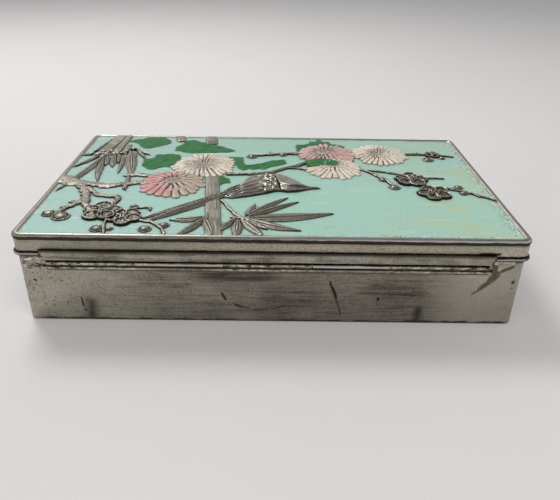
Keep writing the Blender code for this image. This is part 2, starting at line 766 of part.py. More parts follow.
def main():
    clear_scene()
    parts = make_collection("relief_box")
    helpers = make_collection("helpers", hidden=True)
    silver = make_material("tarnished_white_metal", (0.46, 0.43, 0.38), 0.42, 1.0)
    enamel = make_material("pale_green_enamel", (0.45, 0.68, 0.56), 0.35, 0.0)
    wire = make_material("dull_wire", (0.36, 0.33, 0.29), 0.5, 1.0)
    build_body(parts, silver)
    build_lid(parts, helpers, enamel)
    build_hinge(parts, helpers, silver, wire)


main()
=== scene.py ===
"""Looks of the hinged relief box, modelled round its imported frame.

The box stands at the origin, +Z up, in metres, with its hinge on the -Y side. The relief on its lid is
carved here as a casting: figures of the picture are laid over each other on a fine grid of points.
"""

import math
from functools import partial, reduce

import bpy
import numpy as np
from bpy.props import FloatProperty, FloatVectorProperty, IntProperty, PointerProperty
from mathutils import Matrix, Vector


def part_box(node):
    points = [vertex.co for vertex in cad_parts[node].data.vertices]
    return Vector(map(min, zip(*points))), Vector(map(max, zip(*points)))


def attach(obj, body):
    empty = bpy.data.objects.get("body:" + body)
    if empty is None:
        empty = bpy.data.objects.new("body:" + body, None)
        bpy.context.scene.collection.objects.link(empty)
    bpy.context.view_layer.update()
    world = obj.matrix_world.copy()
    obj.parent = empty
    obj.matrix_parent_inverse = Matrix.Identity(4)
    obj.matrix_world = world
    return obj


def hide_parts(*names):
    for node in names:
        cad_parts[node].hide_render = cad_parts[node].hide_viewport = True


bl_info = {
    "name": "Relief Box Looks",
    "version": (1, 0, 0),
    "blender": (4, 5, 0),
    "location": "3D View > Sidebar > Relief Box",
    "description": "Models and finishes the enamelled relief box",
    "category": "Object",
}

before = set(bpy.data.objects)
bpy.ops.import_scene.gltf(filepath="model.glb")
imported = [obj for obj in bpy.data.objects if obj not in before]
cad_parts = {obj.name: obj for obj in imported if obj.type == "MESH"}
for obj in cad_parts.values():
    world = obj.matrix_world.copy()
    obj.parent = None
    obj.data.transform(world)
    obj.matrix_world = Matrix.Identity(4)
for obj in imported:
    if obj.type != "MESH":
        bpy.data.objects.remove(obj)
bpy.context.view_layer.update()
BODY_LOW, BODY_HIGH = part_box("box_body")
LID_LOW, LID_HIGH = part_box("lid")
LID_STRIP_LOW, LID_STRIP_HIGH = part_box("lid_hinge_strip")
BODY_STRIP_LOW, BODY_STRIP_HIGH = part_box("body_hinge_strip")
PIN_LOW, PIN_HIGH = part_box("hinge_pin")

MM = 0.001


# The owners and lengths, in shares, of the hinge's knuckles from left to right
KNUCKLE_SHARES = (("body", 29.0), ("lid", 29.0), ("body", 29.0), ("lid", 25.5), ("body", 33.0))

# Allowances of the modelling
SHARPEST_CORNER = 0.3 * MM
LID_CORNER_GROWTH = 0.6 * MM
SEAT_GAP = 0.1 * MM
STRIP_TAPER = 1.8 * MM
STRIP_ROUNDING = 0.35 * MM
KNUCKLE_ROUNDING = 0.06 * MM
BODY_STRIP_THICKNESS = 1.1 * MM

# Shading angles: of the plain pieces and of what is laid on a fine grid
PLAIN_SMOOTHING = 35.0
CARVED_SMOOTHING = 60.0

# Tints that only one finish uses
# A painted sheen and a painted highlight laid in bands on the lid and the hinge
SHEEN_METAL = (0.72, 0.66, 0.53)
HIGHLIGHT_METAL = (0.85, 0.84, 0.82)
# Worn metal, which is also a painted highlight on the relief's raised tops
RUBBED_METAL_AND_HIGHLIGHT = (0.78, 0.75, 0.70)
YELLOW_SOLDER = (0.40, 0.36, 0.26)
BRIGHT_SOLDER = (0.84, 0.80, 0.73)
# Paint worn pale, which is also a painted highlight on the petals' raised tops
WORN_PAINT_AND_HIGHLIGHT = (0.90, 0.84, 0.78)
SHADED_PAINT = (0.07, 0.05, 0.035)
# Worn green, which is also a painted highlight on the leaves' raised parts
RUBBED_GREEN_AND_HIGHLIGHT = (0.14, 0.33, 0.12)
POOLED_GREEN = (0.003, 0.08, 0.018)
# Grime and painted shade at the leaves' edges and steep sides
LEAF_GRIME_AND_SHADE = (0.12, 0.11, 0.06)
# Painted shade on the far half of the ground
SHADED_FAR_ENAMEL = (0.16, 0.22, 0.18)
CHALKY_ENAMEL = (0.62, 0.75, 0.70)
CHIP_RIM = (0.78, 0.78, 0.70)
CHIP_FLOOR = (0.10, 0.085, 0.05)
DARK_SPOT = (0.10, 0.14, 0.11)
# Grime and painted shade along the ground's edge and at the figures' feet
EDGE_GRIME_AND_SHADE = (0.09, 0.085, 0.06)


# What a user would change


def length_property(name, description, millimetres):
    return FloatProperty(name=name, description=description, default=millimetres * MM, unit="LENGTH")


def angle_property(name, description, degrees):
    return FloatProperty(name=name, description=description, default=math.radians(degrees), subtype="ANGLE")


def colour_property(name, description, default):
    look = {"size": 3, "min": 0, "max": 1, "subtype": "COLOR"}
    return FloatVectorProperty(name=name, description=description, default=default, **look)


class BoxSizes(bpy.types.PropertyGroup):
    wall: length_property("Body wall", "Thickness of the body's walls", 2.0)
    floor: length_property("Floor", "Thickness of the body's floor", 1.8)
    body_corner: length_property("Body corner", "Radius of the body's upright corners", 2.6)
    foot_edge: length_property("Foot edge", "Radius of the body's bottom edge", 0.8)
    lip: length_property("Lip", "Height of the lip inside the lid", 2.2)
    lip_inset: length_property("Lip inset", "How far the lip stands back from the body's face", 1.2)
    skirt: length_property("Skirt", "Height of the lid from its foot to the picture", 7.0)
    skirt_wall: length_property("Skirt wall", "Thickness of the lid's skirt", 1.5)
    plate: length_property("Lid plate", "Thickness of the lid's top", 1.7)
    roll: length_property("Rim roll", "Radius of the roll round the picture", 1.2)
    roll_proud: length_property("Roll overhang", "How far the roll stands out past the skirt", 0.25)
    roll_rise: length_property("Roll rise", "How far the roll stands above the picture", 0.5)
    bead: length_property("Foot bead", "Radius of the bead round the lid's foot", 0.6)
    bead_proud: length_property("Bead overhang", "How far the bead stands out past the skirt", 0.8)
    knuckle: length_property("Knuckle", "Outer radius of the hinge's knuckles", 0.85)
    knuckle_bore: length_property("Knuckle bore", "Bore radius of the knuckles", 0.52)
    knuckle_gap: length_property("Knuckle gap", "Gap between two knuckles", 0.3)


class ReliefSizes(bpy.types.PropertyGroup):
    chrysanthemum: length_property("Chrysanthemums", "Height of the flower heads", 1.9)
    blossom: length_property("Plum blossom", "Height of the plum blossoms", 1.25)
    blade: length_property("Bamboo leaves", "Height of the bamboo leaves", 0.95)
    cane: length_property("Bamboo canes", "Height of the bamboo canes", 0.6)
    twig: length_property("Plum twigs", "Height of the plum twigs", 0.8)
    bird: length_property("Bird", "Height of the bird", 2.05)
    leaf: length_property("Green leaves", "Height of the green leaves", 0.35)
    grain: length_property("Casting grain", "Depth of the grain of the casting", 0.03)
    seed: IntProperty(name="Seed", description="Seed of the petals' small differences", default=7, min=0)


class Finishes(bpy.types.PropertyGroup):
    metal: colour_property("Metal", "Worn white metal", (0.43, 0.40, 0.335))
    tarnish: colour_property("Tarnish", "Brown-grey tarnish", (0.13, 0.118, 0.092))
    # This colour is dark dirt in the metal's pits, and also painted shade in creases, hollows and the shaded
    # bands of the lid, the hinge and the body's foot
    dirt_and_shade: colour_property("Dirt", "Dark dirt in the hollows", (0.028, 0.023, 0.016))
    stain: colour_property("Stain", "Brown stain by the hinge", (0.115, 0.086, 0.042))
    enamel: colour_property("Enamel", "Pale green enamel", (0.335, 0.61, 0.505))
    enamel_blue: colour_property("Enamel, blue", "Where the enamel is bluer", (0.35, 0.585, 0.53))
    enamel_aged: colour_property("Enamel, aged", "Where the enamel is yellowed", (0.42, 0.565, 0.36))
    green: colour_property("Leaf green", "Enamel of the chrysanthemum leaves", (0.006, 0.15, 0.028))
    green_worn: colour_property("Leaf green, worn", "Worn enamel of the leaves", (0.04, 0.19, 0.05))
    pink: colour_property("Pink", "Paint of the pink petals", (0.56, 0.25, 0.245))
    cream: colour_property("Cream", "Paint of the pale petals", (0.76, 0.67, 0.54))
    tan: colour_property("Tan", "Paint worn thin on the petals", (0.38, 0.30, 0.21))


class StageSettings(bpy.types.PropertyGroup):
    floor: colour_property("Floor", "Plain pale floor", (0.80, 0.79, 0.79))
    focal_length: FloatProperty(name="Focal length", description="Camera lens in millimetres", default=37.32)
    pitch: angle_property("Pitch", "How far the camera looks down", 28.92)
    yaw: angle_property("Yaw", "How far the camera looks to the right", 0.888)
    roll: angle_property("Roll", "How far the camera is rolled", 1.174)
    distance: length_property("Distance", "Camera to the box's middle, level", 211.72)
    side: length_property("Side", "Camera left of the box's middle", 0.32)
    above: length_property("Above", "Camera above the picture", 85.17)


class BoxSettings(bpy.types.PropertyGroup):
    sizes: PointerProperty(type=BoxSizes)
    relief: PointerProperty(type=ReliefSizes)
    finishes: PointerProperty(type=Finishes)
    stage: PointerProperty(type=StageSettings)


def settings():
    return bpy.context.scene.relief_box


def picture_level():
    return LID_LOW.z + settings().sizes.skirt


def skirt_half():
    proud = settings().sizes.bead_proud
    return LID_HIGH.x - proud, LID_HIGH.y - proud


def field_inset():
    sizes = settings().sizes
    reach = math.sqrt(sizes.roll**2 - (sizes.roll - sizes.roll_rise) ** 2)
    return sizes.roll - sizes.roll_proud + reach


def field_half():
    """Half the width and half the depth of the picture."""
    return [side - field_inset() for side in skirt_half()]


def hinge_axis():
    """The Y and Z of the hinge's axis."""
    return (PIN_LOW.y + PIN_HIGH.y) / 2, (PIN_LOW.z + PIN_HIGH.z) / 2


# Modelling


def pick_only(obj):
    bpy.ops.object.select_all(action="DESELECT")
    obj.select_set(True)
    bpy.context.view_layer.objects.active = obj


def keep_as(name):
    """Name the new primitive and put its place and size into its mesh."""
    obj = bpy.context.active_object
    obj.name = name
    obj.data.name = name
    pick_only(obj)
    bpy.ops.object.transform_apply(location=True, rotation=True, scale=True)
    return obj


def add_block(name, low, high):
    middle = (Vector(low) + Vector(high)) / 2
    bpy.ops.object.select_all(action="DESELECT")
    bpy.ops.mesh.primitive_cube_add(size=1.0, location=middle, scale=Vector(high) - Vector(low))
    return keep_as(name)


def add_rod(name, left, right, radius, centre, sides=32, ends="NGON"):
    """A rod along X whose axis passes through centre in Y and Z."""
    bpy.ops.object.select_all(action="DESELECT")
    bpy.ops.mesh.primitive_cylinder_add(
        vertices=sides,
        radius=radius,
        depth=right - left,
        end_fill_type=ends,
        location=((left + right) / 2, *centre),
        rotation=(0.0, math.pi / 2, 0.0),
    )
    return keep_as(name)


def choose(obj, kind, rule):
    """In edit mode, select the vertices, edges or faces of obj for which rule is true."""
    pick_only(obj)
    bpy.ops.object.mode_set(mode="EDIT")
    bpy.ops.mesh.select_mode(type=kind)
    bpy.ops.mesh.select_all(action="DESELECT")
    bpy.ops.object.mode_set(mode="OBJECT")
    parts = {"VERT": obj.data.vertices, "EDGE": obj.data.edges, "FACE": obj.data.polygons}[kind]
    for part in parts:
        part.select = rule(part)
    bpy.ops.object.mode_set(mode="EDIT")


def edge_ends(obj, edge):
    return [obj.data.vertices[index].co for index in edge.vertices]


def edge_run(obj, edge):
    """How far an edge goes along each axis."""
    first, second = edge_ends(obj, edge)
    return [abs(end - start) for start, end in zip(first, second)]


def apply_modifier(obj, kind, **values):
    modifier = obj.modifiers.new(kind.title(), kind)
    for name, value in values.items():
        setattr(modifier, name, value)
    pick_only(obj)
    bpy.ops.object.modifier_apply(modifier=modifier.name)


def soften_edges(obj, width, segments=2, angle=30.0):
    limit = {"limit_method": "ANGLE", "angle_limit": math.radians(angle)}
    apply_modifier(obj, "BEVEL", width=width, segments=segments, **limit)


def join_all(name, pieces):
    bpy.ops.object.select_all(action="DESELECT")
    for piece in pieces:
        piece.select_set(True)
    bpy.context.view_layer.objects.active = pieces[0]
    bpy.ops.object.join()
    pieces[0].name = name
    pieces[0].data.name = name
    return pieces[0]


def finish(obj, body, material, smooth_angle=PLAIN_SMOOTHING, replaces=()):
    """Shade a piece, give it its material, and tie it to the frame."""
    pick_only(obj)
    bpy.ops.object.shade_smooth_by_angle(angle=math.radians(smooth_angle))
    obj.data.materials.clear()
    obj.data.materials.append(material)
    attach(obj, body)
    if replaces:
        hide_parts(*replaces)
    bpy.ops.object.select_all(action="DESELECT")
    return obj


def rounded_outline(half_width, half_depth, radius, steps):
    """Points round a rectangle with round corners, anticlockwise."""
    points = []
    for quarter, (sign_x, sign_y) in enumerate(((1, 1), (-1, 1), (-1, -1), (1, -1))):
        for step in range(steps + 1):
            angle = math.radians(90 * (quarter + step / steps))
            x = sign_x * (half_width - radius) + radius * math.cos(angle)
            y = sign_y * (half_depth - radius) + radius * math.sin(angle)
            points.append((x, y))
    return points


def moulded_ring(name, half, radius, profile, steps=8):
    """A closed solid with one rounded outline for each point of the profile, an inset and a level."""
    vertices, faces = [], []
    for inset, level in profile:
        corner = max(radius - inset, SHARPEST_CORNER)
        outline = rounded_outline(half[0] - inset, half[1] - inset, corner, steps)
        vertices += [(x, y, level) for x, y in outline]
    count = 4 * (steps + 1)
    for row in range(len(profile) - 1):
        for index in range(count):
            after = (index + 1) % count
            start, above = row * count, (row + 1) * count
            faces.append((start + index, above + index, above + after, start + after))
    faces.append(tuple(range(count)))
    faces.append(tuple(reversed(range((len(profile) - 1) * count, len(profile) * count))))
    mesh = bpy.data.meshes.new(name)
    mesh.from_pydata(vertices, [], faces)
    obj = bpy.data.objects.new(name, mesh)
    bpy.context.scene.collection.objects.link(obj)
    pick_only(obj)
    bpy.ops.object.mode_set(mode="EDIT")
    bpy.ops.mesh.select_all(action="SELECT")
    bpy.ops.mesh.normals_make_consistent(inside=False)
    bpy.ops.object.mode_set(mode="OBJECT")
    return obj


def grid_piece(name, x, y, z, **values):
    """A mesh of a grid of points in metres, with a value at each point for every name in values."""
    rows, columns = x.shape
    bpy.ops.object.select_all(action="DESELECT")
    bpy.ops.mesh.primitive_grid_add(x_subdivisions=columns - 1, y_subdivisions=rows - 1, size=1.0)
    obj = bpy.context.active_object
    obj.name = name
    obj.data.name = name
    obj.data.vertices.foreach_set("co", np.stack([x, y, z], axis=-1).astype(np.float32).ravel())
    for label, value in values.items():
        layer = obj.data.attributes.new(label, "FLOAT", "POINT")
        layer.data.foreach_set("value", value.astype(np.float32).ravel())
    obj.data.update()
    return obj


def arc(centre, radius, start, end, steps):
    """Profile points on an arc. 0 degrees points outward and 90 up."""
    turns = [math.radians(start + (end - start) * step / steps) for step in range(steps + 1)]
    return [(centre[0] - radius * math.cos(t), centre[1] + radius * math.sin(t)) for t in turns]


# Materials


def feed(socket, value):
    """Link an output to a socket, or set the socket to a constant."""
    if isinstance(value, bpy.types.NodeSocket):
        socket.id_data.links.new(value, socket)
    else:
        socket.default_value = value


def feed_all(node, **inputs):
    for name, value in inputs.items():
        feed(node.inputs[name.replace("_", " ")], value)


def add_node(tree, kind, options=None, **inputs):
    made = tree.nodes.new(kind)
    for name, value in (options or {}).items():
        setattr(made, name, value)
    feed_all(made, **inputs)
    return made


def tree_of(*values):
    """The node tree of the first socket among values."""
    return next(value.id_data for value in values if isinstance(value, bpy.types.NodeSocket))


def calculate(operation, first, second=0.0, clamp=False):
    options = {"operation": operation, "use_clamp": clamp}
    made = add_node(tree_of(first, second), "ShaderNodeMath", options)
    feed(made.inputs[0], first)
    feed(made.inputs[1], second)
    return made.outputs[0]


def both(*masks):
    """The product of masks."""
    return reduce(partial(calculate, "MULTIPLY"), masks)


def strongest(*masks):
    """The greatest of masks."""
    return reduce(partial(calculate, "MAXIMUM"), masks)


def total(*values):
    return reduce(partial(calculate, "ADD"), values)


def between(value, low, high, to_low=0.0, to_high=1.0):
    """A smooth step of a value from low to high."""
    ends = {"From_Min": low, "From_Max": high, "To_Min": to_low, "To_Max": to_high}
    smooth = {"interpolation_type": "SMOOTHSTEP"}
    return add_node(value.id_data, "ShaderNodeMapRange", smooth, Value=value, **ends).outputs["Result"]


def within(value, low, high, soft):
    """1 where a value lies from low to high, fading to 0 over soft outside them."""
    return both(between(value, low - soft, low), between(value, high + soft, high))


def blend_colours(share, first, second):
    """A mix of two colours, which are the seventh and eighth sockets of the node."""
    made = add_node(tree_of(share, first, second), "ShaderNodeMix", {"data_type": "RGBA"})
    feed(made.inputs[0], share)
    for socket, colour in ((made.inputs[6], first), (made.inputs[7], second)):
        feed(socket, colour if isinstance(colour, bpy.types.NodeSocket) else (*colour, 1.0))
    return made.outputs[2]


def layered(colour, *layers):
    """A colour with others laid over it, each by its share."""
    for share, other in layers:
        colour = blend_colours(share, colour, other)
    return colour


def scaled(colour, factor):
    return tuple(min(1.0, factor * channel) for channel in colour)


def mapped(place, kind, **inputs):
    options = {"vector_type": kind}
    return add_node(place.id_data, "ShaderNodeMapping", options, Vector=place, **inputs).outputs[0]


def noise(place, size, detail=3.0, roughness=0.55, shrink=None):
    """Noise with features of about size in metres, drawn out along the axes that shrink."""
    if shrink:
        place = mapped(place, "POINT", Scale=shrink)
    inputs = {"Scale": 1 / size, "Detail": detail, "Roughness": roughness}
    return add_node(place.id_data, "ShaderNodeTexNoise", Vector=place, **inputs).outputs["Fac"]


def axes_of(place):
    """The X, Y and Z of a place."""
    return add_node(place.id_data, "ShaderNodeSeparateXYZ", Vector=place).outputs


def stroke(place, start, end, width, soft, taper=0.0):
    """1 on a straight mark with narrowing ends between two points of the X-Z plane, and 0 away from it."""
    run = Vector((end[0] - start[0], 0.0, end[1] - start[1]))
    middle = Vector(((end[0] + start[0]) / 2, 0.0, (end[1] + start[1]) / 2))
    slant = -math.atan2(run.z, run.x)
    axes = axes_of(mapped(place, "TEXTURE", Location=middle, Rotation=(0.0, slant, 0.0)))
    along = calculate("ABSOLUTE", axes["X"])
    across = calculate("ABSOLUTE", axes["Z"])
    half = run.length / 2
    inside = between(along, half + taper, half - taper - soft)
    share = calculate("POWER", calculate("DIVIDE", along, half), 4.0)
    across = total(across, both(share, width / 2))
    return both(inside, between(across, width / 2 + soft, width / 2 - soft / 2))


def wandering(place, size, reach):
    """The place moved about by noise, so that what is drawn on it has uneven edges."""
    tree = place.id_data
    kind = "ShaderNodeVectorMath"
    made = add_node(tree, "ShaderNodeTexNoise", Vector=place, Scale=1 / size, Detail=3.0)
    centred = add_node(tree, kind, {"operation": "SUBTRACT"}, Vector=made.outputs["Color"])
    feed(centred.inputs[1], (0.5, 0.5, 0.5))
    drift = add_node(tree, kind, {"operation": "SCALE"}, Vector=centred.outputs[0], Scale=reach)
    shifted = add_node(tree, kind, {"operation": "ADD"}, Vector=place)
    feed(shifted.inputs[1], drift.outputs[0])
    return shifted.outputs[0]


def start_material(name):
    """A new material, and the place of each point on its object."""
    material = bpy.data.materials.new(name)
    material.use_nodes = True
    return material, add_node(material.node_tree, "ShaderNodeTexCoord").outputs["Object"]


def finish_material(material, height, depth, **inputs):
    """Feed the material's shader, and dent its surface by a height that is depth deep."""
    tree = material.node_tree
    dents = add_node(tree, "ShaderNodeBump", Height=height, Distance=depth, Strength=1.0).outputs["Normal"]
    feed_all(tree.nodes["Principled BSDF"], Normal=dents, **inputs)
    return material


def carved(material, label, output="Fac"):
    """A value that was stored at each point of the mesh when it was carved."""
    return add_node(material.node_tree, "ShaderNodeAttribute", {"attribute_name": label}).outputs[output]


def worn_metal(place, patch, tarnish_share, pitted=0.0, brushed=0.4):
    """Colour, roughness and height of worn white metal: clouds of tarnish, fine brushing, grain and pits."""
    finishes = settings().finishes
    clouds = noise(place, patch, 4.0, 0.6)
    blotches = noise(place, 3.2 * MM, 4.0, 0.65, (0.5, 1.0, 1.0))
    grain = noise(place, 0.45 * MM, 2.0, 0.7)
    brushing = noise(place, 0.55 * MM, 3.0, 0.65, (0.03, 0.6, 1.0))
    pits = between(calculate("SUBTRACT", noise(place, 0.85 * MM, 1.0, 0.5), pitted), 0.29, 0.23)
    shade = total(
        both(between(clouds, 0.38, 0.72), tarnish_share),
        between(blotches, 0.42, 0.75, 0.0, 0.28),
        between(grain, 0.45, 0.75, 0.0, 0.45),
    )
    lines = both(between(brushing, 0.46, 0.72, 0.0, 0.5), brushed)
    shade = calculate("ADD", shade, lines, clamp=True)
    colour = layered(
        blend_colours(shade, finishes.metal, finishes.tarnish),
        (between(grain, 0.42, 0.26, 0.0, 0.7), scaled(finishes.metal, 1.5)),
        (both(pits, 0.85), finishes.dirt_and_shade),
    )
    rough = total(between(clouds, 0.3, 0.7, 0.36, 0.48), between(grain, 0.4, 0.8, 0.0, 0.12))
    height = total(calculate("SUBTRACT", both(brushing, 0.4), pits), both(grain, 0.7))
    return colour, rough, height


def metal_material(name, patch, tarnish_share, bands=(), polish=0.0, brushed=0.4):
    """Worn metal with level bands, each with its two levels, how soft and deep it is, and its tint. Most
    bands are painted highlights, painted shade or a painted sheen.

    A band may also have its left and right end, and how far it fades out past them.
    """
    finishes = settings().finishes
    material, place = start_material(name)
    colour, rough, height = worn_metal(place, patch, tarnish_share, brushed=brushed)
    x, y, level = axes_of(place)
    ragged = noise(place, 1.2 * MM, 3.0, 0.6, (0.25, 0.25, 1.0))
    level = total(level, between(ragged, 0.3, 0.7, -0.1 * MM, 0.1 * MM))
    flecks = between(noise(place, 0.7 * MM, 3.0, 0.7), 0.40, 0.75, 0.0, 0.85)
    pale = blend_colours(flecks, SHEEN_METAL, finishes.tarnish)
    # Tints of the bands: a painted highlight, dark dirt that mostly serves as painted shade, and a painted
    # sheen of pale metal flecked with tarnish, only on the near side
    tints = {"bright": HIGHLIGHT_METAL, "dark": finishes.dirt_and_shade, "pale": pale}
    near = between(y, LID_LOW.y + 20 * MM, LID_LOW.y + 3 * MM)
    for low, high, soft, depth, tint, *reach in bands:
        band = both(within(level, low, high, soft), depth)
        if reach:
            left, right, fade = (*reach, MM)[:3]
            band = both(band, within(x, left, right, fade))
        if tint == "pale":
            band = both(band, near)
        colour = blend_colours(band, colour, tints[tint])
    rough = calculate("SUBTRACT", rough, polish)
    return finish_material(material, height, 0.02 * MM, Base_Color=colour, Roughness=rough, Metallic=1.0)


# Dark lines of painted shade in the creases along the knuckles, in millimetres from the hinge's axis: low,
# high, softness and depth
KNUCKLE_CREASE_SHADE = (
    (-1.5, -0.95, 0.25, 0.95),
    (0.45, 1.2, 0.25, 0.9),
    (-2.7, -2.4, 0.2, 0.6),
)


def solder_material(name, spans=()):
    """Rough solder: yellow-grey lumps with black between them, along the spans of the body's knuckles."""
    finishes = settings().finishes
    material, place = start_material(name)
    colour, rough, height = worn_metal(place, 6 * MM, 0.3)
    lumps = noise(place, 0.9 * MM, 4.0, 0.65, (0.45, 1.0, 1.0))
    colour = layered(
        colour,
        (between(lumps, 0.4, 0.6, 0.2, 0.7), YELLOW_SOLDER),
        (between(lumps, 0.51, 0.60, 0.0, 0.75), BRIGHT_SOLDER),
        (between(lumps, 0.45, 0.38, 0.0, 0.95), finishes.dirt_and_shade),
    )
    if spans:
        x, _, level = axes_of(place)
        axis = hinge_axis()[1]
        plain, _, _ = worn_metal(place, 9 * MM, 0.6)
        rough_part = strongest(*(within(x, left, right, MM) for left, right in spans))
        rough_part = both(rough_part, between(level, axis - 2.6 * MM, axis - 1.9 * MM))
        colour = blend_colours(rough_part, plain, colour)
        for low, high, soft, depth in KNUCKLE_CREASE_SHADE:
            crease_shade = within(level, axis + low * MM, axis + high * MM, soft * MM)
            colour = blend_colours(both(crease_shade, depth), colour, finishes.dirt_and_shade)
    height = total(height, both(lumps, 2.0))
    return finish_material(material, height, 0.05 * MM, Base_Color=colour, Roughness=rough, Metallic=1.0)


# Marks on the hinge side: start and end in metres from the middle and the foot, width, softness, depth
MARKS = (
    ((-0.0602, 0.0105), (-0.0612, -0.004), 1.3 * MM, 3.6 * MM, 0.9),
    ((0.0495, 0.0095), (0.0487, -0.004), 1.8 * MM, 4.0 * MM, 0.95),
    ((0.0500, 0.0175), (0.0492, 0.0060), 2.0 * MM, 4.0 * MM, 0.5),
    ((0.0440, 0.0010), (0.0560, 0.0006), 1.2 * MM, 1.2 * MM, 0.85),
    ((0.0430, 0.0150), (0.0520, 0.0158), 3.5 * MM, 3.0 * MM, 0.45),
    ((0.0187, 0.0170), (0.0206, 0.0118), 0.8 * MM, 0.45 * MM, 0.95),
    ((0.0197, 0.0150), (0.0216, 0.0092), 1.0 * MM, 0.4 * MM, 0.93),
    ((0.0208, 0.0108), (0.0234, 0.0024), 0.65 * MM, 0.4 * MM, 0.85),
    ((-0.0637, 0.0096), (-0.0630, 0.0052), 0.5 * MM, 0.15 * MM, 0.97),
    ((-0.0629, 0.0046), (-0.0627, 0.0036), 0.6 * MM, 0.2 * MM, 0.95),
    ((-0.0174, 0.0117), (-0.0152, 0.0082), 0.9 * MM, 0.5 * MM, 0.9),
    ((-0.0136, 0.0076), (-0.0069, 0.0049), 0.45 * MM, 0.2 * MM, 0.92),
    ((-0.0130, 0.0070), (-0.0100, 0.0056), 1.1 * MM, 0.4 * MM, 0.75),
    ((-0.0069, 0.0049), (-0.0007, 0.0051), 0.38 * MM, 0.2 * MM, 0.9),
    ((-0.0007, 0.0051), (0.0048, 0.0067), 0.34 * MM, 0.2 * MM, 0.85),
    ((0.0078, 0.0061), (0.0082, 0.0061), 0.9 * MM, 0.2 * MM, 0.97),
    ((0.0353, 0.0105), (0.0354, 0.0088), 0.8 * MM, 0.2 * MM, 0.97),
    ((0.0356, 0.0077), (0.0357, 0.0073), 0.7 * MM, 0.2 * MM, 0.97),
    ((0.0270, 0.0122), (0.0520, 0.0112), 0.5 * MM, 0.4 * MM, 0.75),
    ((-0.0782, 0.0158), (-0.0769, 0.0155), 0.65 * MM, 0.2 * MM, 0.97),
    ((-0.0300, 0.0030), (-0.0296, 0.0030), 0.9 * MM, 0.3 * MM, 0.95),
    ((-0.0306, 0.0010), (-0.0290, 0.0006), 1.0 * MM, 0.5 * MM, 0.9),
    ((0.0789, 0.0178), (0.0794, 0.0160), 0.7 * MM, 0.5 * MM, 0.85),
    ((0.0791, 0.0152), (0.0792, 0.0143), 0.5 * MM, 0.4 * MM, 0.8),
    ((-0.0735, 0.0188), (-0.0722, 0.0183), 0.4 * MM, 0.3 * MM, 0.6),
)

# The brown stain: start, end and width of its strokes
STAIN = (
    ((0.0659, 0.0118), (0.0690, 0.0142), 0.6 * MM),
    ((0.0678, 0.0136), (0.0722, 0.0176), 1.7 * MM),
    ((0.0706, 0.0162), (0.0742, 0.0212), 2.6 * MM),
    ((0.0722, 0.0196), (0.0721, 0.0252), 1.9 * MM),
    ((0.0736, 0.0204), (0.0786, 0.0233), 1.2 * MM),
)


def body_material():
    """The body's metal, with the smears, scratches and the stain of its hinge side, and painted shade along
    its foot and under the lid.

    Places are in metres from the box's middle and from its foot.
    """
    finishes = settings().finishes
    material, place = start_material("body_metal")
    x, y, z = axes_of(place)
    hinge_side = between(y, BODY_LOW.y + 1.5 * MM, BODY_LOW.y + 0.5 * MM)
    near = between(y, BODY_LOW.y + 9 * MM, BODY_LOW.y + 1 * MM)
    pitted = total(between(x, -0.060, -0.070, 0.0, 0.045), between(x, 0.070, 0.078, 0.0, 0.03))
    pitted = both(pitted, between(y, 0.0, BODY_LOW.y + 4 * MM))
    brushed = total(both(between(x, -0.070, -0.030), between(x, 0.070, 0.046)), 0.08)
    colour, rough, height = worn_metal(place, 30 * MM, 0.3, pitted, brushed)
    pale_end = both(between(x, 0.046, 0.060, 0.0, 0.55), between(y, 0.0, BODY_LOW.y))

    # The middle of the side is darker, and brushed in long streaks under the hinge
    streaks = noise(place, 0.8 * MM, 4.0, 0.7, (0.04, 1.0, 1.0))
    clouds = noise(place, 16 * MM, 3.0, 0.6)
    middle = both(between(x, -0.056, -0.012), between(x, 0.068, 0.046))
    middle = both(middle, between(streaks, 0.30, 0.70, 0.45, 0.85), between(clouds, 0.3, 0.65, 0.65, 1.0))
    upper = both(between(x, -0.036, -0.018), between(x, 0.014, -0.006), between(z, 0.0135, 0.0175))
    upper = both(upper, between(streaks, 0.35, 0.6, 0.9, 1.35))
    right = both(between(x, 0.024, 0.034), between(x, 0.054, 0.046))
    right = both(right, between(z, 0.0085, 0.011), between(z, 0.0185, 0.0165))
    right = both(right, between(streaks, 0.42, 0.56, 0.2, 0.95))

    # Marks, a ragged dark left edge, a ragged painted shadow along the foot, and painted shade under the lid
    marked = wandering(place, 3 * MM, 0.9 * MM)
    marks = (both(stroke(marked, *mark), depth) for *mark, depth in MARKS)
    dark = both(strongest(both(strongest(middle, upper, right), 0.66), *marks), hinge_side)
    ragged = noise(place, 1.6 * MM, 3.0, 0.6, (0.4, 1.0, 1.0))
    uneven = total(z, between(ragged, 0.3, 0.7, -0.35 * MM, 0.35 * MM))
    foot = both(between(uneven, 1.5 * MM, 0.5 * MM, 0.0, 0.95), between(x, -0.0795, -0.0735, 0.3, 1.0))
    edge = both(between(x, -0.0809, -0.0815), between(ragged, 0.42, 0.55), between(z, 0.004, 0.008))
    edge = both(edge, near, 0.85)
    lid_shade = between(z, BODY_HIGH.z - 3.6 * MM, BODY_HIGH.z - 2.4 * MM, 0.0, 0.8)
    dark = strongest(dark, foot, edge, lid_shade)

    stain = strongest(*(stroke(marked, *mark, 0.3 * MM, taper=0.6 * MM) for mark in STAIN))
    stain = both(stain, hinge_side, between(noise(place, 1.6 * MM, 3.0, 0.6), 0.3, 0.55, 0.75, 1.0))
    bright_end = (pale_end, scaled(finishes.metal, 1.08))
    colour = layered(colour, bright_end, (dark, finishes.dirt_and_shade), (stain, finishes.stain))
    rough = calculate("ADD", rough, both(strongest(dark, stain), 0.15), clamp=True)
    metallic = calculate("SUBTRACT", 1.0, both(stain, 0.6))
    inputs = {"Roughness": rough, "Metallic": metallic}
    return finish_material(material, height, 0.025 * MM, Base_Color=colour, **inputs)


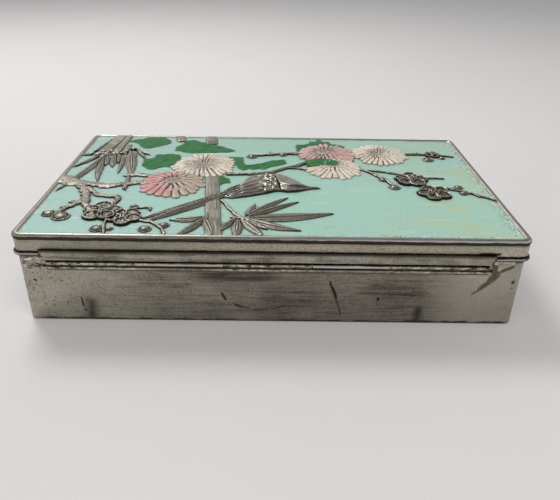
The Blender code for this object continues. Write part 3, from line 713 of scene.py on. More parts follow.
def casting_material(name, dull, shine, matt):
    """Cast metal of the relief: dark with patina in its hollows and with painted shade on its steep sides,
    and light where it is worn and where a painted highlight lies on its raised tops.
    """
    finishes = settings().finishes
    material, place = start_material(name)
    recess, rubbed = carved(material, "recess"), carved(material, "rubbed")
    speckle = noise(place, 0.6 * MM, 3.0, 0.7)
    clouds = noise(place, 7 * MM, 4.0, 0.6)
    # A painted highlight, broken by speckle, where the raised tops are worn
    bright = both(between(rubbed, 0.12, 0.7), between(speckle, 0.60, 0.42, 0.15, shine))
    colour = layered(
        blend_colours(between(clouds, 0.35, 0.68, dull, 0.5 + dull), finishes.metal, finishes.tarnish),
        (between(speckle, 0.45, 0.75, 0.0, 0.5), finishes.tarnish),
        (bright, RUBBED_METAL_AND_HIGHLIGHT),
        # Dark patina in the hollows, and painted shade on the steep sides
        (between(recess, 0.06, 0.6, 0.0, 0.95), finishes.dirt_and_shade),
    )
    rough = between(speckle, 0.3, 0.8, 0.28 + matt, 0.46 + matt)
    rough = calculate("ADD", rough, both(recess, 0.3), clamp=True)
    return finish_material(material, speckle, 0.04 * MM, Base_Color=colour, Roughness=rough, Metallic=1.0)


def painted_material(name):
    """Paint worn over cast metal. Each point's paint and how bare it is are carved with the piece."""
    finishes = settings().finishes
    material, place = start_material(name)
    paint = carved(material, "paint", "Color")
    recess, rubbed = carved(material, "recess"), carved(material, "rubbed")
    speckle = noise(place, 0.8 * MM, 4.0, 0.7)
    clouds = noise(place, 6 * MM, 3.0, 0.5)
    bare = both(between(total(speckle, both(rubbed, 0.12)), 0.62, 0.7), 0.6)
    colour = layered(
        paint,
        (between(clouds, 0.45, 0.75, 0.0, 0.3), finishes.tan),
        # Paint worn pale with a painted highlight on the raised tops
        (between(rubbed, 0.08, 0.6, 0.0, 0.85), blend_colours(0.5, paint, WORN_PAINT_AND_HIGHLIGHT)),
        (bare, finishes.tarnish),
        # Painted shade between the petals and on their steep sides, darkest in the deepest hollows
        (between(recess, 0.08, 0.5, 0.0, 0.8), blend_colours(0.6, paint, SHADED_PAINT)),
        (between(recess, 0.5, 0.95, 0.0, 0.9), scaled(finishes.dirt_and_shade, 1.6)),
    )
    rough = between(speckle, 0.3, 0.8, 0.42, 0.6)
    return finish_material(material, speckle, 0.035 * MM, Base_Color=colour, Roughness=rough, Metallic=bare)


def leaf_material():
    """Thick green enamel, pooled in places and thin where it is worn."""
    finishes = settings().finishes
    material, place = start_material("leaf_enamel")
    clouds = noise(place, 5 * MM, 3.0, 0.6)
    speckle = noise(place, 0.8 * MM, 3.0, 0.6)
    pools = noise(place, 3.5 * MM, 3.0, 0.6)
    colour = layered(
        blend_colours(between(clouds, 0.48, 0.72, 0.0, 0.6), finishes.green, finishes.green_worn),
        (between(speckle, 0.6, 0.78, 0.0, 0.3), finishes.green_worn),
        # Worn green with a painted highlight on the raised veins and edges
        (between(carved(material, "rubbed"), 0.08, 0.5, 0.0, 0.45), RUBBED_GREEN_AND_HIGHLIGHT),
        (between(pools, 0.50, 0.66, 0.0, 0.6), POOLED_GREEN),
        # Grime and painted shade at the edges and steep sides of the leaves
        (between(carved(material, "recess"), 0.2, 0.9, 0.0, 0.85), LEAF_GRIME_AND_SHADE),
    )
    inputs = {"Roughness": between(speckle, 0.3, 0.8, 0.3, 0.5), "Specular_IOR_Level": 0.2}
    return finish_material(material, clouds, 0.05 * MM, Base_Color=colour, **inputs)


# Thin scratches at three slants: turn, draw-out, the noise where one begins and is full, share and colour
SCRATCHES = (
    (0.5, 0.035, 0.71, 0.75, 0.65, (0.77, 0.85, 0.81)),
    (-0.35, 0.05, 0.71, 0.75, 0.55, (0.80, 0.87, 0.83)),
    (1.2, 0.08, 0.76, 0.79, 0.5, (0.16, 0.20, 0.17)),
)


def scratched(place, turn, shrink, low, high, share):
    """The share of a colour along thin straight scratches."""
    slanted = mapped(place, "POINT", Rotation=(0.0, 0.0, turn), Scale=(shrink, 1.0, 1.0))
    return between(noise(slanted, 1.1 * MM, 1.0, 0.5), low, high, 0.0, share)


def enamel_material(half):
    """The pale ground: cloudy, scratched, yellowed to the right, darker on its far half as painted shade,
    and grimy and darkened by painted shade along its edges and at the figures' feet.
    """
    finishes = settings().finishes
    material, place = start_material("picture_enamel")
    x, y, _ = axes_of(place)
    clouds = noise(place, 30 * MM, 4.0, 0.6)
    patches = noise(place, 14 * MM, 4.0, 0.65, (0.8, 1.0, 1.0))
    fine = noise(place, 1.2 * MM, 4.0, 0.6)
    chips = noise(place, 0.8 * MM, 2.0, 0.6)
    spots = noise(place, 1.4 * MM, 2.0, 0.6)
    blue = between(total(clouds, between(x, 0.0, -half[0], 0.0, 0.22)), 0.46, 0.72)
    to_the_right = total(both(between(x, 0.02, half[0]), 0.8), 0.2)
    near_edge = both(between(y, -half[1] + 2.0 * MM, -half[1] + 0.6 * MM), between(x, 0.0, 0.04))
    edges = strongest(near_edge, between(x, half[0] - 5 * MM, half[0] - 1 * MM, 0.0, 0.9))
    colour = layered(
        blend_colours(blue, finishes.enamel, finishes.enamel_blue),
        (both(between(patches, 0.42, 0.68), to_the_right), finishes.enamel_aged),
        # Painted shade: the far half of the ground is darker
        (between(y, -0.02, half[1], 0.0, 0.19), SHADED_FAR_ENAMEL),
        (between(fine, 0.42, 0.72, 0.0, 0.28), CHALKY_ENAMEL),
        *((scratched(place, *scratch), tint) for *scratch, tint in SCRATCHES),
        (both(edges, between(chips, 0.56, 0.62, 0.0, 0.8)), CHIP_RIM),
        (both(edges, between(chips, 0.44, 0.37, 0.0, 0.9)), CHIP_FLOOR),
        (between(spots, 0.285, 0.235, 0.0, 0.65), DARK_SPOT),
        # Grime and painted shade at the figures' feet and along the roll
        (between(carved(material, "grime"), 0.05, 0.9, 0.0, 0.9), EDGE_GRIME_AND_SHADE),
    )
    height = total(both(clouds, 3.0), both(fine, 0.25))
    rough = between(fine, 0.3, 0.8, 0.27, 0.45)
    return finish_material(material, height, 0.04 * MM, Base_Color=colour, Roughness=rough)


# Carving: heights of the relief on a grid of points, in millimetres

GROUND = -0.35
SUNK_WITHIN = 0.001
WALL_SLOPE = 2.6
EDGE_BLEND = 0.3

# How far round a point its hollows are judged, for wide ones and for narrow ones
NEAR_REACH = 0.45
CLOSE_REACH = 0.2

# Distance between points: flowers and bird, bamboo and plum, leaves, enamel, solder
FINE_STEP = 0.17
STEP = 0.18
LEAF_STEP = 0.2
GROUND_STEP = 0.5
SOLDER_STEP = 0.22

# How far a carving runs past the picture, how far what it keeps does, and the enamel under the roll
MARGIN = 0.6
KEPT_PAST = 0.35
UNDER_ROLL = 0.3

# The figures are placed on a drawing, which is laid on the lid at this scale and this far towards +Y
DRAWING_SCALE = (1.004, 1.043)
DRAWING_SHIFT = -0.5


def smooth_noise(x, y, size, seed):
    """Value noise from 0 to 1 with features of the given size."""
    rows = np.random.RandomState(seed).rand(64, 64)
    u, v = x / size, y / size
    column, row = np.floor(u).astype(int), np.floor(v).astype(int)
    fu, fv = u - column, v - row
    fu, fv = fu * fu * (3 - 2 * fu), fv * fv * (3 - 2 * fv)
    corner = rows[row % 64, column % 64]
    beside = rows[row % 64, (column + 1) % 64]
    above = rows[(row + 1) % 64, column % 64]
    across = rows[(row + 1) % 64, (column + 1) % 64]
    return (corner * (1 - fu) + beside * fu) * (1 - fv) + (above * (1 - fu) + across * fu) * fv


def blurred(heights, reach):
    """A soft average of an array over a few points each way."""
    result = heights
    span = 2 * reach + 1
    for axis in (0, 1):
        for _ in range(2):
            margins = [(reach, reach) if way == axis else (0, 0) for way in (0, 1)]
            sums = np.cumsum(np.pad(result, margins, "edge"), axis)
            sums = np.concatenate([np.zeros_like(np.take(sums, [0], axis)), sums], axis)
            count = result.shape[axis]
            past, before = np.take(sums, range(span, span + count), axis), np.take(sums, range(count), axis)
            result = (past - before) / span
    return result


def on_lid(x, y):
    """Where a place of the drawing comes to lie on the lid, both in millimetres from its middle."""
    return x * DRAWING_SCALE[0], y * DRAWING_SCALE[1] + DRAWING_SHIFT


def on_drawing(x, y):
    return x / DRAWING_SCALE[0], (y - DRAWING_SHIFT) / DRAWING_SCALE[1]


class Carving:
    """A patch of the picture whose figures are laid over each other, each where it stands highest."""

    made = []

    def __init__(self, low, high, step):
        self.step = step
        self.across = np.arange(low[0], high[0] + step / 2, step)
        self.along = np.arange(low[1], high[1] + step / 2, step)
        self.x, self.y = np.meshgrid(self.across, self.along)
        self.height = np.full(self.x.shape, GROUND)
        self.paint = np.zeros((*self.x.shape, 3))
        Carving.made.append(self)

    def lay(self, reach, figure, paint=None):
        """Lay a figure, which gives its edge distance and top at the points inside reach."""
        columns = slice(*np.searchsorted(self.across, (reach[0], reach[1])))
        rows = slice(*np.searchsorted(self.along, (reach[2], reach[3])))
        x, y = self.x[rows, columns], self.y[rows, columns]
        if x.size == 0:
            return
        edge, top = figure(x, y)
        wall = WALL_SLOPE * edge
        blend = np.clip(0.5 + 0.5 * (top - wall) / EDGE_BLEND, 0, 1)
        level = top * (1 - blend) + wall * blend - EDGE_BLEND * blend * (1 - blend)
        level = np.maximum(np.where(edge > 0, level, wall), GROUND)
        higher = level > self.height[rows, columns]
        self.height[rows, columns] = np.where(higher, level, self.height[rows, columns])
        if paint is not None:
            colour = paint(x, y) if callable(paint) else np.broadcast_to(paint, (*x.shape, 3))
            self.paint[rows, columns] = np.where(higher[..., None], colour, self.paint[rows, columns])

    def roughen(self, depth):
        grain = smooth_noise(self.x, self.y, 0.55, 3) + 0.6 * smooth_noise(self.x, self.y, 1.7, 4)
        self.height = np.where(self.height > 0, self.height + depth * (grain - 0.8), self.height)

    def trim(self, half):
        """Sink what runs past the edge of the picture."""
        x, y = on_lid(self.x, self.y)
        past = np.maximum(np.abs(x) - half[0], np.abs(y) - half[1])
        self.height = np.minimum(self.height, np.maximum(GROUND, 1.0 - WALL_SLOPE * past))

    def hollows(self, wall_shade):
        """How deep each point lies among its neighbours, and how much it stands out, both from 0 to 1."""
        raised = np.maximum(self.height, 0)
        near = blurred(raised, max(1, round(NEAR_REACH / self.step)))
        close = blurred(raised, max(1, round(CLOSE_REACH / self.step)))
        recess = np.clip((near - raised) * 3.0 + (close - raised) * 6.0, 0, 1)
        recess = np.maximum(recess, np.clip(1.0 - raised / 0.32, 0, 1))
        # Steep sides of the figures are darkened as painted shade, by the given weight, on top of the dark
        # of the hollows
        steepness = np.hypot(*np.gradient(self.height, self.step))
        recess = np.maximum(recess, wall_shade * np.clip((steepness - 1.3) / 0.9, 0, 1))
        # Raised tops: where the finishes lay wear and a painted highlight
        rubbed = np.clip((raised - near) * 2.0 + (raised - close) * 3.0, 0, 1)
        return recess, rubbed * (1 - 0.8 * recess)

    def piece(self, name, wall_shade):
        """A mesh of the carved points, without those that lie deep under the enamel."""
        x, y = on_lid(self.x, self.y)
        recess, rubbed = self.hollows(wall_shade)
        level = picture_level() + self.height * MM
        obj = grid_piece(name, x * MM, y * MM, level, recess=recess, rubbed=rubbed)
        if self.paint.any():
            layer = obj.data.attributes.new("paint", "FLOAT_COLOR", "POINT")
            opaque = np.ones((*self.height.shape, 1))
            paint = np.concatenate([self.paint, opaque], axis=-1)
            layer.data.foreach_set("color", paint.astype(np.float32).ravel())
        low = self.height <= GROUND + SUNK_WITHIN
        spare = low.copy()
        for shift in ((0, 1), (0, -1), (1, 0), (-1, 0), (1, 1), (1, -1), (-1, 1), (-1, -1)):
            spare &= np.roll(low, shift, (0, 1))
        spare = spare.ravel().tolist()
        choose(obj, "VERT", lambda vertex: spare[vertex.index])
        bpy.ops.mesh.delete(type="VERT")
        bpy.ops.object.mode_set(mode="OBJECT")
        return obj

    def become(self, name, material, wall_shade=0.9):
        """Make the carving a finished piece of the lid."""
        finish(self.piece(name, wall_shade), "cover", material, CARVED_SMOOTHING)


def along_line(x, y, start, end, bend=0.0):
    """How far along a line each point lies, from 0 to 1, how far to its left, and the line's length."""
    run = np.hypot(end[0] - start[0], end[1] - start[1])
    ux, uy = (end[0] - start[0]) / run, (end[1] - start[1]) / run
    along = ((x - start[0]) * ux + (y - start[1]) * uy) / run
    aside = (y - start[1]) * ux - (x - start[0]) * uy
    inside = np.clip(along, 0, 1)
    return along, aside - bend * 4 * inside * (1 - inside), run


def reach_of(points, margin):
    xs, ys = [p[0] for p in points], [p[1] for p in points]
    return min(xs) - margin, max(xs) + margin, min(ys) - margin, max(ys) + margin


def blade_figure(foot, tip, width, height, bend=0.0, swell=0.42, veins=2):
    """A bamboo leaf: a long lens with a ridge along its middle and fine veins beside it."""

    def figure(x, y):
        along, aside, run = along_line(x, y, foot, tip, bend)
        inside = np.clip(along, 0, 1)
        full = np.sin(np.pi * inside ** (math.log(0.5) / math.log(swell))) ** 0.85
        half = width / 2 * np.maximum(full, 0.02)
        beyond = np.maximum(np.maximum(-along, along - 1), 0) * run
        edge = half - np.abs(aside) - beyond
        share = np.clip(np.abs(aside) / half, 0, 1)
        ridge = 0.34 + 0.66 * (1 - share) ** 0.85
        vein = 0.13 * np.cos(2 * np.pi * share * veins) * (1 - 0.5 * share)
        fall = 1 - 0.35 * inside**3
        return edge, height * (ridge + vein) * fall

    return figure


def petal_figure(centre, turn, inner, outer, width, low, high):
    """One chrysanthemum petal: a round-backed spoon that falls from its root to its tip."""
    ux, uy = math.cos(turn), math.sin(turn)

    def figure(x, y):
        out = (x - centre[0]) * ux + (y - centre[1]) * uy
        aside = (y - centre[1]) * ux - (x - centre[0]) * uy
        along = np.clip((out - inner) / (outer - inner), 0, 1)
        tip = np.sqrt(np.clip(1 - ((along - 0.80) / 0.20) ** 2, 0, 1))
        half = width / 2 * np.where(along < 0.80, 0.34 + 0.66 * np.sin(along / 0.80 * np.pi / 2), tip)
        beyond = np.maximum(np.maximum(inner - out, out - outer), 0)
        edge = half - np.abs(aside) - beyond
        share = np.clip(np.abs(aside) / np.maximum(half, 0.05), 0, 1)
        back = 0.20 + 0.80 * np.sqrt(1 - 0.97 * share**2)
        arch = high + (low - high) * along**1.5 + 0.22 * np.sin(np.pi * along) ** 2
        return edge, arch * back

    return figure


def stalk_figure(points, start_width, end_width, height, knobs, seed):
    """A twig along a line of points, knobbly and ridged."""
    points = np.array(points, float)
    lengths = np.hypot(*(points[1:] - points[:-1]).T)
    run = np.concatenate([[0], np.cumsum(lengths)]) / lengths.sum()
    full_height = height * min(1.0, 0.55 + start_width / 5)

    def figure(x, y):
        edge = np.full(x.shape, -9.0)
        top = np.zeros(x.shape)
        for index in range(len(points) - 1):
            along, aside, length = along_line(x, y, points[index], points[index + 1])
            inside = np.clip(along, 0, 1)
            away = np.hypot(aside, (along - inside) * length)
            whole = run[index] + (run[index + 1] - run[index]) * inside
            radius = (start_width + (end_width - start_width) * whole) / 2
            radius = radius * (1 + knobs * (2 * smooth_noise(x, y, 1.6, seed) - 1))
            nearer = radius - away > edge
            round_top = full_height * np.sqrt(np.clip(1 - (away / radius) ** 2 * 0.9, 0, 1))
            edge = np.where(nearer, radius - away, edge)
            top = np.where(nearer, round_top, top)
        bark = smooth_noise(x, y, 0.7, seed + 1) * 0.22 + smooth_noise(x, y, 1.5, seed + 2) * 0.18
        return edge, top * (0.80 + bark)

    return figure


def bud_figure(centre, radius, height):
    """A round bud in a rolled cup."""

    def figure(x, y):
        away = np.hypot(x - centre[0], y - centre[1])
        share = np.clip(away / radius, 0, 1)
        ball = np.sqrt(np.clip(1 - (share / 0.70) ** 2, 0, 1))
        cup = 0.50 * np.exp(-(((share - 0.86) / 0.09) ** 2))
        return radius - away, height * np.maximum(np.maximum(ball, cup), 0.26)

    return figure


def blossom_figure(centre, radius, turn, height, seed):
    """A plum blossom: five cupped petals and a ring of stamens round a boss."""
    shake = np.random.RandomState(seed)
    petals = []
    for index in range(5):
        angle = turn + 2 * math.pi * (index + shake.uniform(-0.08, 0.08)) / 5
        reach = radius * 0.55
        size = radius * shake.uniform(0.44, 0.52)
        middle = centre[0] + reach * math.cos(angle), centre[1] + reach * math.sin(angle)
        petals.append((*middle, size, shake.uniform(0.85, 1.05)))

    def figure(x, y):
        edge = np.full(x.shape, -9.0)
        top = np.zeros(x.shape)
        for px, py, size, lift in petals:
            away = np.hypot(x - px, y - py)
            share = np.clip(away / size, 0, 1)
            cup = lift * (0.40 + 0.16 * share**2 + 0.44 * np.exp(-(((share - 0.82) / 0.10) ** 2)))
            inside = size - away
            ribs = 0.07 * np.cos(11 * np.arctan2(y - py, x - px)) * share * (1 - share)
            fold = 0.10 * np.exp(-(((share - 0.5) / 0.1) ** 2))
            top = np.where(inside > 0, height * (cup + 2 * ribs + fold), top)
            edge = np.maximum(edge, inside)
        away = np.hypot(x - centre[0], y - centre[1])
        heart = radius * 0.34 - away
        stamens = np.zeros(x.shape)
        for index in range(11):
            angle = 2 * math.pi * index / 11 + turn
            ring = radius * (0.24 if index % 2 else 0.34)
            spot_x, spot_y = centre[0] + ring * math.cos(angle), centre[1] + ring * math.sin(angle)
            spot = np.hypot(x - spot_x, y - spot_y)
            stamens = np.maximum(stamens, np.sqrt(np.clip(1 - (spot / 0.42) ** 2, 0, 1)))
        boss = np.sqrt(np.clip(1 - (away / 0.75) ** 2, 0, 1))
        top = np.maximum(top, height * np.maximum(0.95 * stamens, boss * 0.9))
        crumbs = smooth_noise(x, y, 0.5, seed) * smooth_noise(y, x, 0.9, seed + 1)
        return np.maximum(edge, heart), top + height * 0.30 * (crumbs - 0.25)

    return figure


def leaf_figure(outline, veins, height, rise=1.0):
    """A flat leaf inside an outline of points, with raised veins, at rise times its height."""
    corners = np.array(outline, float)

    def figure(x, y):
        after = np.roll(corners, -1, 0)
        away = np.full(x.shape, 99.0)
        inside = np.zeros(x.shape, bool)
        for (ax, ay), (bx, by) in zip(corners, after):
            along, aside, length = along_line(x, y, (ax, ay), (bx, by))
            nearest = np.clip(along, 0, 1)
            away = np.minimum(away, np.hypot(aside, (along - nearest) * length))
            if ay != by:
                crosses = (ay > y) != (by > y)
                inside ^= crosses & (x < (bx - ax) * (y - ay) / (by - ay) + ax)
        top = height * (rise - 0.25 + 0.25 * smooth_noise(x, y, 3.0, 11))
        for start, end in veins:
            along, aside, length = along_line(x, y, start, end)
            on = (along > -0.02) & (along < 1)
            vein = 0.5 * height * np.exp(-((aside / 0.35) ** 2)) * (1 - 0.6 * np.clip(along, 0, 1))
            top = top + np.where(on, vein, 0)
        ragged = 0.9 * (smooth_noise(x, y, 1.3, 12) - 0.5)
        return np.where(inside, away, -away) + ragged, top

    return figure


# The picture: figures in millimetres from its middle, as seen with the hinge at the foot

# Flowers: centre, radius, where the eye lies from the centre, the petals of the outer, middle and inner row,
# the paint, and the share of the common height
CHRYSANTHEMUMS = (
    ((-38.0, -6.5), 12.8, (-0.5, 1.0), (21, 18, 12), "pink_to_tan", 1.0),
    ((-28.3, 12.3), 13.2, (-0.5, -2.2), (30, 26, 20), "cream", 1.0),
    ((24.4, 11.6), 11.8, (0.0, 2.0), (26, 22, 15), "cream", 0.78),
    ((45.5, 27.6), 12.2, (-2.5, -0.5), (28, 24, 16), "cream", 1.0),
    ((22.6, 26.8), 12.6, (-1.5, 0.5), (28, 24, 16), "pink", 1.1),
)

# Blossoms: centre, radius and turn
BLOSSOMS = (
    ((-58.0, -31.0), 6.8, 0.35),
    ((-49.7, -34.8), 6.2, 0.95),
    ((53.5, 0.3), 6.4, 0.2),
    ((59.5, -12.0), 6.2, 0.7),
    ((68.6, 28.3), 3.6, 0.0),
)

# Buds: centre and radius
BUDS = (
    ((-75.3, -32.6), 2.5),
    ((-70.6, -34.7), 3.2),
    ((-72.0, -27.9), 1.3),
    ((-56.4, -43.0), 2.4),
    ((-52.6, -42.9), 1.5),
    ((-41.2, -42.7), 2.3),
    ((-35.6, -40.0), 2.0),
    ((-48.2, -26.3), 1.5),
    ((-42.8, -27.3), 1.0),
    ((-58.5, -25.8), 1.6),
    ((45.7, -6.8), 2.3),
    ((42.6, 0.4), 1.9),
    ((54.4, -11.4), 1.6),
    ((70.2, -6.0), 1.8),
    ((70.5, -11.6), 1.6),
    ((65.4, 22.8), 2.4),
    ((71.8, 25.0), 1.5),
    ((-9.3, 23.6), 2.3),
    ((3.8, 26.3), 1.9),
    ((62.0, 30.3), 1.2),
)

# Twigs: width at the start and the end, and the points they run along
TWIGS = (
    (9.5, 4.6, ((-82.0, -3.0), (-78.0, -4.6), (-74.0, -6.8), (-71.5, -8.0))),
    (4.4, 3.0, ((-73.0, -6.6), (-68.0, -8.0), (-62.0, -9.6), (-56.5, -7.6), (-48.0, -4.5))),
    (4.6, 2.4, ((-73.0, -7.0), (-69.0, -13.0), (-66.8, -19.0), (-65.6, -25.0), (-61.5, -31.0))),
    (2.8, 1.8, ((-66.5, -22.0), (-69.5, -26.0), (-72.0, -31.0))),
    (2.6, 1.4, ((-67.0, -24.0), (-71.0, -23.5))),
    (2.6, 1.8, ((-68.0, -12.0), (-63.0, -17.6), (-58.0, -19.0), (-55.6, -18.8))),
    (2.4, 1.8, ((-56.0, -18.2), (-55.0, -22.0), (-56.5, -27.0))),
    (1.6, 1.0, ((-55.5, -7.0), (-55.2, -12.0))),
    (3.2, 2.6, ((-57.0, 1.2), (-53.0, 1.8), (-47.0, 0.5))),
    (1.6, 1.1, ((-46.0, -36.5), (-40.0, -38.0), (-36.0, -42.0), (-33.8, -47.5))),
    (1.3, 0.9, ((-50.0, -31.0), (-47.5, -28.0), (-42.5, -27.0), (-42.0, -29.5))),
    (1.3, 1.0, ((-55.0, -37.0), (-54.6, -42.0), (-53.0, -47.5))),
    (1.8, 1.4, ((34.5, 11.6), (38.0, 8.0), (42.5, 1.5), (45.5, -5.0))),
    (1.3, 1.1, ((37.5, 9.6), (43.0, 8.5), (49.0, 6.4), (53.0, 4.0))),
    (1.4, 0.8, ((56.0, 1.0), (61.5, 2.6), (66.5, 2.2))),
    (1.6, 1.0, ((60.0, -7.0), (66.0, -7.6), (71.0, -10.0), (76.0, -13.8), (81.5, -18.3))),
    (1.0, 0.6, ((74.0, -12.0), (75.5, -15.0))),
    (1.5, 1.0, ((55.0, 28.6), (62.0, 28.8), (70.0, 28.4), (77.0, 26.4))),
    (2.2, 1.0, ((12.5, 27.4), (4.0, 27.4), (-1.0, 25.8), (-9.5, 24.0))),
    (1.4, 0.8, ((-1.0, 26.0), (-1.5, 29.8))),
    (2.4, 1.6, ((13.5, 17.0), (9.0, 13.0), (4.0, 10.4), (-1.0, 6.0), (-9.0, 4.0), (-18.0, 3.4))),
    (1.3, 1.0, ((5.0, 10.8), (9.0, 10.8), (14.0, 9.0))),
)

# Bamboo leaves: foot, tip, width and bend
BLADES = (
    ((-9.5, -33.5), (5.6, -17.2), 3.2, 0.6),
    ((-9.0, -34.0), (9.3, -20.8), 3.4, 0.5),
    ((-9.5, -34.5), (20.8, -29.9), 6.0, -0.8),
    ((-9.0, -35.0), (9.3, -42.8), 4.4, -0.9),
    ((-10.0, -35.0), (-1.6, -42.6), 2.6, 0.0),
    ((-11.0, -35.5), (-2.5, -48.5), 3.6, 0.3),
    ((-12.0, -35.5), (-12.0, -48.8), 3.6, 0.3),
    ((-12.5, -35.0), (-17.5, -44.5), 3.0, -0.4),
    ((-9.0, -33.0), (-6.3, -22.8), 3.0, 0.0),
    ((-23.0, -34.3), (-34.7, -36.3), 3.9, 0.5),
    ((-23.0, -35.2), (-31.6, -48.6), 3.6, 0.4),
    ((-23.6, -34.0), (-19.0, -48.6), 3.8, 0.8),
    ((-22.0, -37.0), (-22.5, -29.5), 1.6, 0.0),
    ((-71.0, 22.0), (-79.4, -15.0), 3.4, 0.8),
    ((-73.0, 21.5), (-80.6, 8.0), 1.9, 0.2),
    ((-70.6, 20.0), (-66.4, -6.4), 3.0, -0.7),
    ((-69.6, 21.5), (-68.0, 10.2), 3.0, 0.3),
    ((-66.8, 22.0), (-64.7, 8.8), 3.4, -0.2),
    ((-65.4, 23.0), (-63.4, 13.0), 2.4, 0.2),
    ((-63.6, 23.0), (-61.0, 2.0), 2.1, 0.5),
    ((-61.8, 28.0), (-55.4, -1.0), 4.4, 0.6),
    ((-56.6, 4.0), (-54.2, -14.0), 1.7, 0.0),
    ((-77.0, 25.0), (-73.5, 44.0), 2.0, -0.8),
    ((-76.5, 23.0), (-82.0, 22.4), 2.0, 0.0),
    ((-61.0, 32.0), (-52.0, 23.2), 1.8, -0.6),
    ((-59.2, 28.6), (-53.4, 18.4), 2.0, 0.5),
    ((-60.2, 27.0), (-57.6, 18.0), 1.8, 0.3),
)

# Canes: foot, tip, and width at both
CANES = (
    ((-18.6, -49.0), (-24.3, 4.0), 5.4, 5.2),
    ((-27.6, 38.0), (-29.0, 49.0), 4.8, 5.0),
    ((-41.4, 41.0), (-43.3, 49.0), 4.0, 4.4),
    ((-69.9, 49.0), (-73.0, 24.0), 5.2, 5.0),
    ((-66.2, 49.0), (-67.6, 25.0), 3.0, 3.6),
    ((-64.0, 36.0), (-63.6, 24.0), 2.6, 3.0),
)

# Knots of the left bamboo: place, radius and height
KNOTS = (
    ((-77.2, 23.6), 1.2, 1.1),
    ((-74.4, 22.6), 1.3, 1.0),
    ((-72.6, 25.6), 1.5, 1.2),
    ((-70.4, 22.8), 1.4, 1.0),
    ((-69.4, 26.6), 1.5, 1.2),
    ((-67.4, 23.4), 1.6, 1.15),
    ((-66.0, 27.4), 1.2, 1.0),
    ((-64.6, 24.2), 1.3, 1.2),
    ((-62.8, 25.8), 1.1, 1.3),
    ((-61.6, 29.2), 1.0, 1.3),
    ((-60.0, 29.4), 1.0, 1.3),
    ((-58.6, 29.4), 0.8, 1.1),
    ((-71.4, 19.6), 1.0, 0.9),
    ((-66.2, 20.0), 1.1, 1.0),
)

# Side shoots of the bamboo, given as the twigs are
SIDE_SHOOTS = (
    (1.8, 1.2, ((-10.0, -35.0), (-13.5, -30.5), (-16.0, -25.5), (-18.5, -20.5))),
    (1.5, 1.0, ((-22.8, -36.0), (-22.2, -30.0), (-22.8, -27.5))),
    (1.6, 1.2, ((-14.0, -33.8), (-10.0, -34.2), (-6.5, -34.5))),
)

# Leaves: corners of the outline, veins, and how high they stand if it isn't 1
GREEN_LEAVES = (
    {
        "outline": (
            (-65.5, 40.5), (-61.0, 44.0), (-56.0, 46.0), (-50.0, 46.4), (-47.0, 43.0),
            (-45.8, 38.5), (-49.5, 36.0), (-52.5, 33.0), (-56.0, 31.5), (-58.5, 34.0),
            (-60.0, 37.8),
        ),
        "veins": (
            ((-47.0, 40.0), (-62.0, 41.0)), ((-51.0, 40.2), (-55.0, 34.0)),
            ((-52.0, 40.4), (-57.0, 45.0)),
        ),
    },
    {
        "outline": (
            (-42.8, 30.0), (-43.0, 34.5), (-40.2, 38.0), (-40.2, 42.0), (-36.5, 43.6),
            (-33.5, 41.2), (-28.0, 39.2), (-22.5, 35.2), (-19.0, 32.8), (-16.8, 29.8),
            (-19.5, 28.2), (-22.0, 28.6), (-26.0, 27.4), (-31.0, 27.6), (-36.0, 26.6),
        ),
        "veins": (
            ((-41.0, 31.5), (-18.0, 30.0)), ((-36.0, 31.4), (-37.0, 41.5)),
            ((-31.0, 31.0), (-27.0, 37.5)), ((-27.0, 30.6), (-23.5, 33.5)),
        ),
    },
    {
        "outline": (
            (-54.0, 18.5), (-53.6, 12.0), (-51.0, 8.2), (-47.5, 7.4), (-45.5, 10.5),
            (-42.0, 11.0), (-40.0, 15.5), (-38.8, 20.5), (-40.5, 24.8), (-44.5, 25.6),
            (-49.8, 24.2), (-50.0, 20.4),
        ),
        "veins": (
            ((-41.5, 22.0), (-50.5, 10.5)), ((-45.0, 17.6), (-51.5, 17.2)),
            ((-43.0, 20.0), (-42.0, 13.0)),
        ),
    },
    {
        "outline": (
            (-20.5, 22.5), (-16.0, 23.0), (-13.0, 22.0), (-12.6, 17.0), (-11.2, 13.8),
            (-6.0, 15.8), (-1.0, 19.4), (4.4, 20.8), (5.0, 16.6), (2.0, 14.2), (-1.5, 12.0),
            (-3.6, 9.2), (-6.4, 10.2), (-8.5, 8.6), (-10.2, 10.0), (-12.6, 7.8), (-14.5, 11.0),
            (-16.5, 14.6), (-18.4, 17.2),
        ),
        "veins": (
            ((-16.0, 19.5), (-12.0, 10.5)), ((-12.5, 12.0), (4.0, 18.6)),
            ((-6.0, 14.8), (-6.0, 10.6)), ((-2.0, 16.4), (0.0, 13.2)),
        ),
    },
    {
        "outline": (
            (9.6, 31.0), (9.8, 39.8), (13.2, 39.6), (15.8, 41.0), (16.0, 44.6), (18.6, 43.4),
            (20.4, 47.0), (22.4, 44.0), (25.2, 44.2), (25.4, 41.0), (29.0, 39.6), (31.5, 37.4),
            (28.0, 33.0), (18.0, 30.0),
        ),
        "veins": (((20.0, 33.0), (20.4, 45.5)), ((19.0, 36.0), (11.0, 38.4)), ((21.0, 37.0), (28.0, 38.4))),
    },
    {
        "outline": ((12.6, 17.6), (14.0, 11.4), (18.0, 10.6), (26.0, 13.0), (28.0, 17.0), (20.0, 20.0)),
        "veins": (((14.0, 13.4), (25.0, 16.0)),),
        "rise": 4.6,
    },
    {
        "outline": (
            (-23.4, 2.0), (-20.0, 2.2), (-17.2, -0.6), (-16.4, -4.8), (-18.6, -5.4),
            (-20.4, -7.0), (-22.6, -4.6),
        ),
        "veins": (((-21.5, 0.8), (-18.2, -4.6)),),
    },
)

